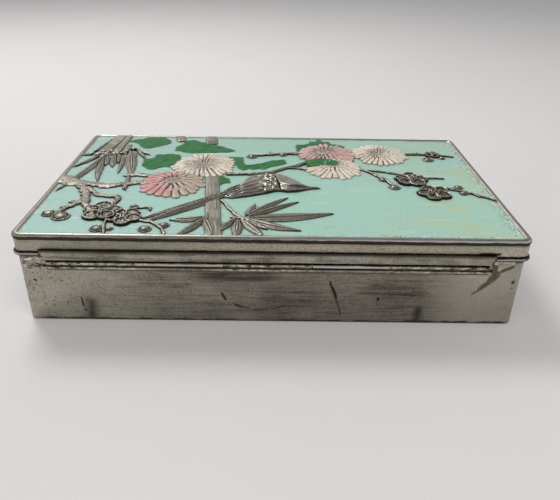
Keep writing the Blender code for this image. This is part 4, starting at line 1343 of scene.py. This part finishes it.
# The bird's upper and lower outline from its tail to its neck, and where its feathers fan out from
BIRD_TOP = (
    (-20.0, -16.4), (-16.0, -12.2), (-12.7, -7.2), (-9.3, 0.2), (-6.5, 2.4), (-3.0, 3.4), (0.4, 3.0),
    (3.2, 1.4),
)
BIRD_FOOT = (
    (-20.0, -17.8), (-15.0, -18.9), (-9.0, -17.0), (-3.0, -14.4), (0.0, -12.6), (1.6, -12.2), (3.2, -12.0)
)
FAN_ROOT = (-23.0, -21.0)

# Feathers: root, tip, width and bend
TAIL_FEATHERS = (
    ((-13.0, -10.5), (-44.6, -36.4), 3.6, 0.5),
    ((-13.0, -13.0), (-42.6, -38.4), 3.8, -0.2),
    ((-13.0, -12.0), (-40.0, -33.6), 2.6, 0.4),
)
WING_FEATHERS = (
    ((0.6, -11.8), (-19.0, -18.6), 2.2, -0.5),
    ((-1.0, -9.6), (-21.0, -17.6), 2.3, -0.5),
    ((-3.4, -7.6), (-21.4, -16.2), 2.2, -0.4),
    ((-6.0, -4.8), (-20.0, -14.6), 2.0, -0.2),
)


def bird_figure(height):
    """The bird's body: a rounded mass, its breast lumpy and its back ruled with long fine feathers."""
    top_x, top_y = np.array(BIRD_TOP).T
    foot_x, foot_y = np.array(BIRD_FOOT).T

    def figure(x, y):
        upper = np.interp(x, top_x, top_y)
        lower = np.interp(x, foot_x, foot_y)
        beyond = np.maximum(np.maximum(top_x[0] - x, x - top_x[-1]), 0)
        half = np.maximum((upper - lower) / 2, 0.05)
        edge = np.minimum(upper - y, y - lower) * 0.8 - beyond
        share = np.clip(np.abs(y - (upper + lower) / 2) / half, 0, 1)
        fullness = np.clip(half / 7.0, 0.12, 1) ** 0.7
        mass = height * fullness * (0.35 + 0.50 * np.sqrt(1 - share**2 * 0.98))
        mass = mass - 0.7 * np.clip((x - neck_line(y) + 0.2) / 0.7, 0, 1)
        # Long feathers fan out from the root of the tail
        turn = np.arctan2(y - FAN_ROOT[1], x - FAN_ROOT[0])
        reach = np.hypot(x - FAN_ROOT[0], y - FAN_ROOT[1])
        rows = 0.2 * np.cos(turn * 46 + 3.0 * smooth_noise(x, y, 6.0, 51))
        rows = rows * (0.85 + 0.15 * np.cos(reach * 1.1 + turn * 9))
        lumps = smooth_noise(x, y, 0.95, 52) * 0.8 + smooth_noise(x, y, 2.2, 53) * 0.3 - 0.5
        breast = np.clip((x + 10.0 + 0.3 * y) / 5.0, 0, 1)
        carving = rows * (1 - 0.8 * breast) + 0.95 * lumps * breast
        return edge, mass + carving * np.clip(edge / 0.8, 0, 1)

    return figure


def neck_line(y):
    """How far along the bird its crown begins."""
    return -0.6 + 0.2 * (2.9 - y)


def head_figure(height):
    """The smooth head, drawn out into the bill, with a rim along its cheek."""
    outline_x = (-0.6, 0.4, 2.4, 5.0, 8.1, 11.0, 13.5, 17.6)
    upper_y = (2.9, 2.9, 2.6, 0.6, -2.9, -6.6, -8.2, -8.6)
    lower_y = (-10.8, -11.3, -12.2, -12.9, -12.5, -11.2, -10.0, -9.0)
    rim_x = (1.4, 3.8, 5.9, 8.5, 11.2, 12.6)
    rim_y = (-7.2, -9.1, -10.1, -9.9, -9.3, -9.1)

    def figure(x, y):
        upper = np.interp(x, outline_x, upper_y)
        lower = np.interp(x, outline_x, lower_y)
        across = np.minimum(upper - y, y - lower) * 0.85
        edge = np.minimum(across, np.minimum(x - neck_line(y), outline_x[-1] - x))
        half = np.maximum((upper - lower) / 2, 0.05)
        share = np.clip(np.abs(y - (upper + lower) / 2) / half, 0, 1)
        fullness = np.clip(half / 5.0, 0.3, 1) ** 0.6
        dome = height * fullness * (0.36 + 0.60 * np.sqrt(1 - 0.98 * share**2))
        rim = (0.36 + 0.03 * np.clip(x, 0, 9)) * np.exp(-(((y - np.interp(x, rim_x, rim_y)) / 0.55) ** 2))
        return edge, dome + rim * np.clip((x - 1.2) / 1.5, 0, 1) * np.clip((13.4 - x) / 2, 0, 1)

    return figure


def tones(name):
    """The paint of a flower, which may change from one side to the other."""
    finishes = settings().finishes
    pink, cream, tan = (np.array(tuple(c)) for c in (finishes.pink, finishes.cream, finishes.tan))
    if name == "cream":
        return cream
    if name == "pink":
        return pink * 0.8 + cream * 0.2

    def fading(x, y):
        share = np.clip((x + 39.0) / 3.0, 0, 1)[..., None]
        return pink * (1 - share) + (0.15 * cream + 0.85 * tan) * share

    return fading


# Rows of petals: how far they reach in and out, how high they are at both ends, their breadth, and how near
# the flower's centre the row's middle lies
PETAL_ROWS = (
    (0.34, 1.00, 0.34, 0.62, 1.0, 0.9),
    (0.24, 0.76, 0.60, 0.88, 0.95, 0.45),
    (0.16, 0.50, 0.84, 1.08, 0.9, 0.25),
)


def carve_chrysanthemum(carving, centre, radius, eye_place, counts, tone, height, shake):
    """Rows of petals that rise towards a sunken eye."""
    eye = (centre[0] + eye_place[0], centre[1] + eye_place[1])
    paint = tones(tone)
    for count, (inner, outer, low, high, breadth, drawn) in zip(counts, PETAL_ROWS):
        origin = [eye[axis] + (centre[axis] - eye[axis]) * drawn for axis in (0, 1)]
        first = shake.uniform(0, 2 * math.pi)
        for index in range(count):
            turn = first + 2 * math.pi * (index + shake.uniform(-0.14, 0.14)) / count
            reach = radius * outer * shake.uniform(0.87, 1.05)
            width = 2 * math.pi * radius * outer * 0.90 / count * breadth * shake.uniform(0.82, 1.0)
            tip = (origin[0] + reach * math.cos(turn), origin[1] + reach * math.sin(turn))
            figure = petal_figure(origin, turn, radius * inner, reach, width, height * low, height * high)
            carving.lay(reach_of((origin, tip), width), figure, paint)

    def heart(x, y):
        away = np.hypot(x - eye[0], y - eye[1])
        grain = 0.12 * smooth_noise(x * 1.3, y, 0.45, 21)
        return radius * 0.26 - away, height * 0.74 + grain + 0.10 * np.cos(away * 3.0)

    carving.lay(reach_of((eye,), radius * 0.3), heart, tones("cream") * 0.35)


# Pieces


class RELIEFBOX_OT_tray(bpy.types.Operator):
    """Model the body: a plain tray with a lip inside the lid"""

    bl_idname = "reliefbox.tray"
    bl_label = "Tray"

    def execute(self, context):
        sizes = settings().sizes
        rim = BODY_HIGH.z - sizes.lip
        tray = add_block("tray", BODY_LOW, (BODY_HIGH.x, BODY_HIGH.y, rim))
        choose(tray, "EDGE", lambda edge: edge_run(tray, edge)[2] > rim / 2)
        bpy.ops.mesh.bevel(offset=sizes.body_corner, segments=8, affect="EDGES")
        bpy.ops.object.mode_set(mode="OBJECT")
        choose(tray, "EDGE", lambda edge: all(end.z < 0.01 * MM for end in edge_ends(tray, edge)))
        bpy.ops.mesh.bevel(offset=sizes.foot_edge, segments=4, affect="EDGES")
        bpy.ops.object.mode_set(mode="OBJECT")
        choose(tray, "FACE", lambda face: face.normal.z > 0.9 and face.center.z > rim - 0.01 * MM)
        bpy.ops.mesh.inset(thickness=sizes.lip_inset)
        bpy.ops.mesh.extrude_region_move(TRANSFORM_OT_translate={"value": (0, 0, sizes.lip)})
        bpy.ops.mesh.inset(thickness=sizes.wall - sizes.lip_inset)
        bpy.ops.mesh.extrude_region_move(TRANSFORM_OT_translate={"value": (0, 0, sizes.floor - BODY_HIGH.z)})
        bpy.ops.object.mode_set(mode="OBJECT")
        soften_edges(tray, 0.12 * MM, angle=50.0)
        finish(tray, "box", body_material(), replaces=("box_body",))
        return {"FINISHED"}


class RELIEFBOX_OT_lid(bpy.types.Operator):
    """Model the lid's casting: its plate, roll, skirt and bead"""

    bl_idname = "reliefbox.lid"
    bl_label = "Lid"

    def execute(self, context):
        sizes = settings().sizes
        level = picture_level()
        half = skirt_half()
        centre_inset = sizes.roll - sizes.roll_proud
        roll_level = level + sizes.roll_rise - sizes.roll
        start = 180 - math.degrees(math.asin((sizes.roll - sizes.roll_rise) / sizes.roll))
        end = -math.degrees(math.acos(centre_inset / sizes.roll))
        bead_centre = (sizes.bead - sizes.bead_proud, LID_LOW.z + sizes.bead)
        profile = [
            (field_inset() + 0.4 * MM, level - 0.2 * MM),
            *arc((centre_inset, roll_level), sizes.roll, start + 8, end, 16),
            (0.0, LID_LOW.z + 2 * sizes.bead + 0.15 * MM),
            *arc(bead_centre, sizes.bead, 90, -90, 10),
            (sizes.skirt_wall, LID_LOW.z),
            (sizes.skirt_wall, level - sizes.plate),
        ]
        lid = moulded_ring("lid_casting", half, sizes.body_corner + LID_CORNER_GROWTH, profile)
        self.seat_the_strip(lid, half)
        top = level + sizes.roll_rise
        foot = LID_LOW.z
        bead_top = foot + 2 * sizes.bead
        seat = LID_STRIP_HIGH.z
        bands = (
            # Painted shade under the roll, and painted highlights along its top and on the right of its
            # front
            (roll_level - 0.75 * MM, roll_level + 0.30 * MM, 0.25 * MM, 0.93, "dark"),
            (roll_level + 0.95 * MM, top, 0.2 * MM, 0.3, "bright", -0.079, 0.079),
            (roll_level + 0.5 * MM, roll_level + 0.85 * MM, 0.2 * MM, 0.6, "bright", 0.03, 0.09, 50 * MM),
            # Painted shade on both ends of the lid, and a painted sheen on the skirt's near face
            (roll_level - 2 * MM, top, 0.2 * MM, 0.62, "dark", 0.0822, 0.09, 0.8 * MM),
            (roll_level - 2 * MM, top, 0.2 * MM, 0.62, "dark", -0.09, -0.0822, 0.8 * MM),
            (foot + 1.9 * MM, roll_level - 1.5 * MM, 0.5 * MM, 0.72, "pale", 0.0, 0.070, 75 * MM),
            # Painted shadow in the crease over the hinge strip, the stain where it runs onto the lid,
            # painted shadow in the crease over the bead, painted shade under the bead, a painted highlight
            # along the bead, and a darker right end of the bead
            (seat - 0.3 * MM, seat + 0.3 * MM, 0.2 * MM, 0.95, "dark", LID_STRIP_LOW.x, LID_STRIP_HIGH.x),
            (seat, seat + 0.6 * MM, 0.4 * MM, 0.95, "dark", 0.0665, 0.0725),
            (bead_top - 0.05 * MM, bead_top + 0.35 * MM, 0.2 * MM, 0.95, "dark"),
            (foot - 0.2 * MM, foot + 0.45 * MM, 0.2 * MM, 0.85, "dark"),
            (foot + 0.75 * MM, foot + 0.95 * MM, 0.12 * MM, 0.25, "bright"),
            (foot - 0.2 * MM, foot + 1.3 * MM, 0.2 * MM, 0.7, "dark", 0.0815, 0.09),
        )
        material = metal_material("lid_metal", 14 * MM, 0.15, bands=bands)
        finish(lid, "cover", material, replaces=("lid",))
        return {"FINISHED"}

    def seat_the_strip(self, lid, half):
        """Cut the bead away where the hinge strip is seated."""
        room = add_block(
            "strip_room",
            (LID_STRIP_LOW.x - SEAT_GAP, LID_LOW.y - MM, LID_LOW.z - MM),
            (LID_STRIP_HIGH.x + SEAT_GAP, -half[1] + SEAT_GAP, LID_STRIP_HIGH.z + SEAT_GAP),
        )
        apply_modifier(lid, "BOOLEAN", operation="DIFFERENCE", solver="EXACT", object=room)
        bpy.data.objects.remove(room, do_unlink=True)


def knuckle_spans(owner):
    """The stretches of the hinge that belong to the body or to the lid, from left to right."""
    gap = settings().sizes.knuckle_gap
    left = PIN_LOW.x - 0.2 * MM
    length = PIN_HIGH.x - PIN_LOW.x + 0.4 * MM
    spans = []
    for who, share in KNUCKLE_SHARES:
        right = left + length * share / sum(part for _, part in KNUCKLE_SHARES)
        if who == owner:
            spans.append((left + gap / 2, right - gap / 2))
        left = right
    return spans


def roughen_tube(tube, axis, seed):
    """Cut a tube into short rings and dent them unevenly, as rough solder is."""
    choose(tube, "EDGE", lambda edge: edge_run(tube, edge)[0] > 5 * MM)
    bpy.ops.mesh.subdivide(number_cuts=70)
    bpy.ops.object.mode_set(mode="OBJECT")
    for vertex in tube.data.vertices:
        away = Vector((vertex.co.y - axis[0], vertex.co.z - axis[1]))
        if away.length > 0.75 * MM:
            turn = math.atan2(away.y, away.x)
            dent = float(smooth_noise(vertex.co.x / MM, turn * 1.2 + 8.0, 0.9, seed)) * 0.6
            dent += float(smooth_noise(vertex.co.x / MM, turn * 2.0 + 8.0, 2.6, seed + 9)) * 0.4
            away *= 1.0 - 0.3 * dent
            vertex.co.y, vertex.co.z = axis[0] + away.x, axis[1] + away.y


def model_strip(name, owner, low, high, web):
    """A hinge strip with rounded edges, its knuckles of rolled tube, and the webs that carry them."""
    sizes = settings().sizes
    axis = hinge_axis()
    strip = add_block(name, low, high)
    foot = low[2] + 0.01 * MM
    for side in (-1, 1):
        choose(strip, "VERT", lambda vertex: vertex.co.x * side > 0.05 and vertex.co.z < foot)
        bpy.ops.transform.translate(value=(-side * STRIP_TAPER, 0.0, 0.0))
        bpy.ops.object.mode_set(mode="OBJECT")
    soften_edges(strip, STRIP_ROUNDING, 4)
    pieces = [strip]
    for index, (left, right) in enumerate(knuckle_spans(owner)):
        tube = add_rod(f"{name}_knuckle_{index}", left, right, sizes.knuckle, axis, 28, "NOTHING")
        apply_modifier(tube, "SOLIDIFY", thickness=sizes.knuckle - sizes.knuckle_bore, offset=-1.0)
        soften_edges(tube, KNUCKLE_ROUNDING)
        if owner == "body":
            roughen_tube(tube, axis, 70 + index)
        flange = add_block(f"{name}_web_{index}", (left, web[0], web[2]), (right, web[1], web[3]))
        pieces += [tube, flange]
    return join_all(name, pieces)


class RELIEFBOX_OT_hinge(bpy.types.Operator):
    """Model the hinge's two strips, their knuckles and the rough solder that holds them"""

    bl_idname = "reliefbox.hinge"
    bl_label = "Hinge"

    def execute(self, context):
        axis = hinge_axis()
        sizes = settings().sizes
        bottom = axis[1] + 1.2 * MM
        lid_low = (LID_STRIP_LOW.x, LID_STRIP_LOW.y, bottom)
        back = LID_STRIP_HIGH.y
        lid_web = (back - 0.8 * MM, back - 0.2 * MM, axis[1] + 0.5 * MM, bottom + 0.4 * MM)
        lid_strip = model_strip("lid_strip", "lid", lid_low, LID_STRIP_HIGH, lid_web)
        top = axis[1] - sizes.knuckle - 0.3 * MM
        body_low = (BODY_STRIP_LOW.x, BODY_STRIP_HIGH.y - BODY_STRIP_THICKNESS, BODY_STRIP_LOW.z)
        body_high = (BODY_STRIP_HIGH.x, BODY_STRIP_HIGH.y, top)
        body_web = (body_low[1], body_low[1] + 0.7 * MM, top - 0.4 * MM, axis[1] - 0.5 * MM)
        body_strip = model_strip("body_strip", "body", body_low, body_high, body_web)
        bands = (
            # Painted shadow between the strip and the knuckles, a painted highlight along the strip's lower
            # edge, painted shade along its top edge, painted shade under the middle of the knuckles and a
            # painted highlight along their middle
            (bottom - 0.6 * MM, bottom - 0.1 * MM, 0.15 * MM, 0.97, "dark"),
            (bottom + 0.02 * MM, bottom + 0.16 * MM, 0.1 * MM, 0.7, "bright"),
            (LID_STRIP_HIGH.z - 0.5 * MM, LID_STRIP_HIGH.z + 0.2 * MM, 0.25 * MM, 0.45, "dark"),
            (axis[1] - 1.35 * MM, axis[1] - 0.65 * MM, 0.2 * MM, 0.95, "dark"),
            (axis[1] - 0.3 * MM, axis[1] + 0.15 * MM, 0.25 * MM, 0.45, "bright"),
        )
        strip_metal = metal_material("strip_metal", 12 * MM, 0.55, bands=bands, polish=0.12, brushed=1.2)
        finish(lid_strip, "cover", strip_metal, replaces=("lid_hinge_strip",))
        solder = solder_material("knuckle_solder", knuckle_spans("body"))
        finish(body_strip, "box", solder, replaces=("body_hinge_strip",))
        self.solder_the_ends()
        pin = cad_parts["hinge_pin"]
        pin.data.materials.clear()
        pin.data.materials.append(metal_material("pin_metal", 5 * MM, 1.0))
        return {"FINISHED"}

    def solder_the_ends(self):
        """Lay rough patches of solder on the body beyond both ends of the hinge."""
        # Name, left and right, foot and top, thickness in millimetres, and the seed of the lumps
        patches = (
            ("solder_left", (-80.2, -72.6), (19.9, 24.6), 0.55, 33),
            ("solder_right", (71.6, 78.6), (23.2, 25.1), 0.4, 35),
        )
        end_solder = solder_material("end_solder")
        for name, (left, right), (foot, top), thickness, seed in patches:
            columns, rows = round((right - left) / SOLDER_STEP), round((top - foot) / SOLDER_STEP)
            x, z = np.meshgrid(np.linspace(left, right, columns + 1), np.linspace(foot, top, rows + 1))
            inside = np.minimum(np.minimum(x - left, right - x) / 1.6, np.minimum(z - foot, top - z) / 0.7)
            inside = np.clip(inside, 0, 1)
            lumps = smooth_noise(x, z, 1.1, seed) * 0.6 + smooth_noise(x, z, 0.5, seed + 1) * 0.5
            rise = thickness * inside**0.6 * (0.35 + 0.75 * lumps) - 0.12
            rise = rise - 0.5 * np.clip(smooth_noise(x, z, 1.8, seed + 2) - 0.72, 0, 1)
            patch = grid_piece(name, x * MM, BODY_LOW.y - rise * MM, z * MM)
            finish(patch, "box", end_solder, CARVED_SMOOTHING)


class RELIEFBOX_OT_chrysanthemums(bpy.types.Operator):
    """Carve the chrysanthemums"""

    bl_idname = "reliefbox.chrysanthemums"
    bl_label = "Chrysanthemums"

    def execute(self, context):
        relief = settings().relief
        shake = np.random.RandomState(relief.seed)
        material = painted_material("petal_paint")
        patches = (
            ("chrysanthemums_left", (-53.0, -22.0), (-13.0, 28.0), CHRYSANTHEMUMS[:2]),
            ("chrysanthemums_right", (8.0, -2.0), (60.0, 43.0), CHRYSANTHEMUMS[2:]),
        )
        for name, low, high, flowers in patches:
            carving = Carving(low, high, FINE_STEP)
            for *flower, rise in flowers:
                carve_chrysanthemum(carving, *flower, rise * relief.chrysanthemum / MM, shake)
            carving.roughen(relief.grain / MM)
            carving.become(name, material, wall_shade=0.25)
        return {"FINISHED"}


class RELIEFBOX_OT_bird(bpy.types.Operator):
    """Carve the bird with its wing and long tail"""

    bl_idname = "reliefbox.bird"
    bl_label = "Bird"

    def execute(self, context):
        relief = settings().relief
        height = relief.bird / MM
        carving = Carving((-47.0, -40.5), (19.5, 5.5), FINE_STEP)
        for foot, tip, width, bend in TAIL_FEATHERS:
            figure = blade_figure(foot, tip, width, 1.15, bend, 0.55, 3)
            carving.lay(reach_of((foot, tip), width + 2), figure)
        carving.lay(reach_of(BIRD_TOP + BIRD_FOOT, 2.0), bird_figure(height))
        for foot, tip, width, bend in WING_FEATHERS:
            figure = blade_figure(foot, tip, width, height * 0.78, bend, 0.35, 2)
            carving.lay(reach_of((foot, tip), width + 3), figure)
        carving.lay((-2.0, 19.0, -14.0, 4.5), head_figure(height))
        carving.roughen(relief.grain / MM)
        carving.become("bird", casting_material("bird_metal", dull=-0.05, shine=0.95, matt=0.0), wall_shade=0.5)
        return {"FINISHED"}


class RELIEFBOX_OT_bamboo(bpy.types.Operator):
    """Carve the bamboo canes and leaves"""

    bl_idname = "reliefbox.bamboo"
    bl_label = "Bamboo"

    def execute(self, context):
        relief = settings().relief
        half = [side / MM for side in field_half()]
        material = casting_material("bamboo_metal", dull=0.2, shine=0.75, matt=0.12)
        patches = (
            ("bamboo_left", (-half[0] - MARGIN, -18.0 - MARGIN), (-48.0, half[1] + MARGIN)),
            ("bamboo_middle", (-47.9 - MARGIN, -half[1] - MARGIN), (23.0, half[1] + MARGIN)),
        )
        for name, low, high in patches:
            carving = Carving(low, high, STEP)
            for foot, tip, start_width, end_width in CANES:
                self.lay_cane(carving, foot, tip, start_width, end_width, relief.cane / MM)
            for index, (start_width, end_width, points) in enumerate(SIDE_SHOOTS):
                figure = stalk_figure(points, start_width, end_width, 0.7, 0.25, 40 + index)
                carving.lay(reach_of(points, start_width), figure)
            for place, radius, height in KNOTS:
                carving.lay(reach_of((place,), radius), bud_figure(place, radius, height))
            for foot, tip, width, bend in BLADES:
                figure = blade_figure(foot, tip, width, relief.blade / MM, bend)
                carving.lay(reach_of((foot, tip), width + abs(bend)), figure)
            carving.roughen(relief.grain / MM)
            carving.trim([side + KEPT_PAST for side in half])
            carving.become(name, material)
        return {"FINISHED"}

    def lay_cane(self, carving, foot, tip, start_width, end_width, height):
        """A flat cane, grooved along its length and ringed at its joints."""

        def figure(x, y):
            along, aside, run = along_line(x, y, foot, tip)
            half = (start_width + (end_width - start_width) * along) / 2
            joint = np.exp(-((((along * 3) % 1 - 0.5) / 0.012) ** 2))
            half = half * (1 + 0.08 * joint)
            edge = np.minimum(half - np.abs(aside), np.minimum(along, 1 - along) * run)
            share = np.clip(np.abs(aside) / half, 0, 1)
            grooves = 0.11 * (smooth_noise(aside + 50.0, along * run * 0.07 + 50.0, 0.55, 31) - 0.5)
            return edge, height * (0.58 + 0.42 * np.sqrt(1 - share**2 * 0.95)) + grooves + 0.07 * joint

        carving.lay(reach_of((foot, tip), start_width), figure)


class RELIEFBOX_OT_plum(bpy.types.Operator):
    """Carve the plum twigs, blossoms and buds"""

    bl_idname = "reliefbox.plum"
    bl_label = "Plum"

    def execute(self, context):
        relief = settings().relief
        half = [side / MM for side in field_half()]
        material = casting_material("plum_metal", dull=0.3, shine=0.65, matt=0.14)
        patches = (
            ("plum_left", (-half[0] - MARGIN, -half[1] - MARGIN), (-31.0, 4.0)),
            ("plum_middle", (-19.5, 1.5), (15.0, 31.0)),
            ("plum_right", (33.0, -21.0), (half[0] + MARGIN, 33.0)),
        )
        for name, low, high in patches:
            carving = Carving(low, high, STEP)
            for index, (start_width, end_width, points) in enumerate(TWIGS):
                figure = stalk_figure(points, start_width, end_width, relief.twig / MM, 0.3, 60 + index)
                carving.lay(reach_of(points, start_width), figure)
            for index, (centre, radius, turn) in enumerate(BLOSSOMS):
                figure = blossom_figure(centre, radius, turn, relief.blossom / MM, 80 + index)
                carving.lay(reach_of((centre,), radius * 1.3), figure)
            for centre, radius in BUDS:
                figure = bud_figure(centre, radius, 0.55 + 0.2 * radius)
                carving.lay(reach_of((centre,), radius + 0.5), figure)
            carving.roughen(1.6 * relief.grain / MM)
            carving.trim([side + KEPT_PAST for side in half])
            carving.become(name, material)
        return {"FINISHED"}


class RELIEFBOX_OT_green_leaves(bpy.types.Operator):
    """Carve the green chrysanthemum leaves"""

    bl_idname = "reliefbox.green_leaves"
    bl_label = "Green leaves"

    def execute(self, context):
        relief = settings().relief
        carving = Carving((-67.0, -8.5), (33.0, 46.7), LEAF_STEP)
        for leaf in GREEN_LEAVES:
            figure = leaf_figure(leaf["outline"], leaf["veins"], relief.leaf / MM, leaf.get("rise", 1.0))
            carving.lay(reach_of(leaf["outline"], 0.5), figure)
        carving.roughen(relief.grain / MM)
        carving.become("green_leaves", leaf_material())
        return {"FINISHED"}


class RELIEFBOX_OT_enamel(bpy.types.Operator):
    """Lay the enamel ground between the figures, grimy and darkened by painted shade at their feet and along
    the roll
    """

    bl_idname = "reliefbox.enamel"
    bl_label = "Enamel ground"

    def execute(self, context):
        half = [side / MM + UNDER_ROLL for side in field_half()]
        counts = [round(2 * side / GROUND_STEP) for side in half]
        across = np.linspace(-half[0], half[0], counts[0] + 1)
        along = np.linspace(-half[1], half[1], counts[1] + 1)
        x, y = np.meshgrid(across, along)
        covered = self.covered(x, y).astype(float)
        rim = np.minimum(half[0] - np.abs(x), half[1] - np.abs(y)) - UNDER_ROLL
        # Grime and painted shade at the figures' feet and along the roll
        grime = np.clip(blurred(covered, 1) * 1.4, 0, 1) * 0.85
        ragged = smooth_noise(x, y, 2.2, 5)
        grime = np.maximum(grime, np.clip(1 - rim / (0.35 + 0.7 * ragged**2), 0, 1) * (0.5 + 0.5 * ragged))
        swell = 0.05 * smooth_noise(x, y, 16.0, 6) + 0.10 * blurred(covered, 2)
        height = -0.04 + swell + 0.10 * np.clip(1 - rim / 1.2, 0, 1)
        enamel = grid_piece("enamel_ground", x * MM, y * MM, picture_level() + height * MM, grime=grime)
        finish(enamel, "cover", enamel_material(field_half()), CARVED_SMOOTHING)
        return {"FINISHED"}

    def covered(self, x, y):
        """Where a figure of the relief stands on the ground."""
        x, y = on_drawing(x, y)
        result = np.zeros(x.shape, bool)
        for carving in Carving.made:
            column = np.round((x - carving.across[0]) / carving.step).astype(int)
            row = np.round((y - carving.along[0]) / carving.step).astype(int)
            last_row, last_column = carving.height.shape[0] - 1, carving.height.shape[1] - 1
            inside = (column >= 0) & (column <= last_column) & (row >= 0) & (row <= last_row)
            level = carving.height[np.clip(row, 0, last_row), np.clip(column, 0, last_column)]
            result |= inside & (level > 0.02)
        return result


class RELIEFBOX_OT_stage(bpy.types.Operator):
    """Set up the floor, the lights and the camera"""

    bl_idname = "reliefbox.stage"
    bl_label = "Stage"

    def execute(self, context):
        stage = settings().stage
        bpy.ops.object.select_all(action="DESELECT")
        bpy.ops.mesh.primitive_plane_add(size=6.0, location=(0.0, 1.5, 0.0))
        floor = keep_as("floor")
        material, place = start_material("pale_floor")
        tone = noise(place, 120 * MM, 2.0, 0.5)
        colour = blend_colours(tone, stage.floor, scaled(stage.floor, 0.95))
        shader = material.node_tree.nodes["Principled BSDF"]
        feed_all(shader, Base_Color=colour, Roughness=0.9)
        floor.data.materials.append(material)

        world = bpy.data.worlds.new("studio")
        context.scene.world = world
        context.scene.view_settings.view_transform = "Standard"
        world.use_nodes = True
        # The sky is pale all round and grey overhead, which the roll and the bird mirror
        direction = add_node(world.node_tree, "ShaderNodeTexCoord").outputs["Generated"]
        overhead = between(axes_of(direction)["Z"], 0.50, 0.78)
        sky = blend_colours(overhead, (1.0, 1.0, 1.0), (0.24, 0.24, 0.25))
        feed_all(world.node_tree.nodes["Background"], Color=sky, Strength=0.62)

        # Lights: name, place, what they point at, size, power and colour
        lights = (
            ("window", (-0.32, 0.42, 0.70), (0.0, 0.0, 0.0), 0.30, 3.3, (1.0, 0.99, 0.97)),
            ("ceiling", (0.12, -0.42, 0.85), (0.0, -0.10, 0.0), 0.5, 2.7, (1.0, 0.98, 0.96)),
            ("fill", (-0.6, -0.8, 0.35), (0.0, 0.0, 0.02), 0.6, 0.3, (0.95, 0.97, 1.0)),
        )
        for name, place, target, size, power, colour in lights:
            bpy.ops.object.light_add(type="AREA", location=place)
            light = context.active_object
            light.name = name
            light.data.shape = "SQUARE"
            light.data.size = size
            light.data.energy = power
            light.data.color = colour
            light.visible_glossy = name != "ceiling"
            light.rotation_euler = (Vector(target) - Vector(place)).to_track_quat("-Z", "Y").to_euler()

        bpy.ops.object.camera_add()
        camera = context.active_object
        camera.name = "camera"
        camera.data.sensor_width = 36.0
        camera.data.lens = stage.focal_length
        camera.data.clip_start = 0.01
        camera.matrix_world = self.camera_matrix(stage)
        context.scene.camera = camera
        return {"FINISHED"}

    def camera_matrix(self, stage):
        level_ahead = Vector((math.sin(stage.yaw), math.cos(stage.yaw), 0.0))
        ahead = math.cos(stage.pitch) * level_ahead - Vector((0.0, 0.0, math.sin(stage.pitch)))
        level_right = Vector((math.cos(stage.yaw), -math.sin(stage.yaw), 0.0))
        level_up = level_right.cross(ahead)
        right = math.cos(stage.roll) * level_right + math.sin(stage.roll) * level_up
        up = -math.sin(stage.roll) * level_right + math.cos(stage.roll) * level_up
        turn = Matrix((right, up, -ahead)).transposed().to_4x4()
        return Matrix.Translation((-stage.side, -stage.distance, picture_level() + stage.above)) @ turn


OPERATORS = (
    RELIEFBOX_OT_tray,
    RELIEFBOX_OT_lid,
    RELIEFBOX_OT_hinge,
    RELIEFBOX_OT_chrysanthemums,
    RELIEFBOX_OT_bird,
    RELIEFBOX_OT_bamboo,
    RELIEFBOX_OT_plum,
    RELIEFBOX_OT_green_leaves,
    RELIEFBOX_OT_enamel,
    RELIEFBOX_OT_stage,
)


class RELIEFBOX_PT_panel(bpy.types.Panel):
    bl_label = "Relief Box"
    bl_idname = "RELIEFBOX_PT_panel"
    bl_space_type = "VIEW_3D"
    bl_region_type = "UI"
    bl_category = "Relief Box"

    def draw(self, context):
        for operator in OPERATORS:
            self.layout.operator(operator.bl_idname)


CLASSES = (BoxSizes, ReliefSizes, Finishes, StageSettings, BoxSettings, *OPERATORS, RELIEFBOX_PT_panel)


def register():
    for cls in CLASSES:
        bpy.utils.register_class(cls)
    bpy.types.Scene.relief_box = PointerProperty(type=BoxSettings)


def unregister():
    del bpy.types.Scene.relief_box
    for cls in reversed(CLASSES):
        bpy.utils.unregister_class(cls)


def main():
    register()
    for operator in OPERATORS:
        group, name = operator.bl_idname.split(".")
        getattr(getattr(bpy.ops, group), name)()


if __name__ == "__main__":
    main()
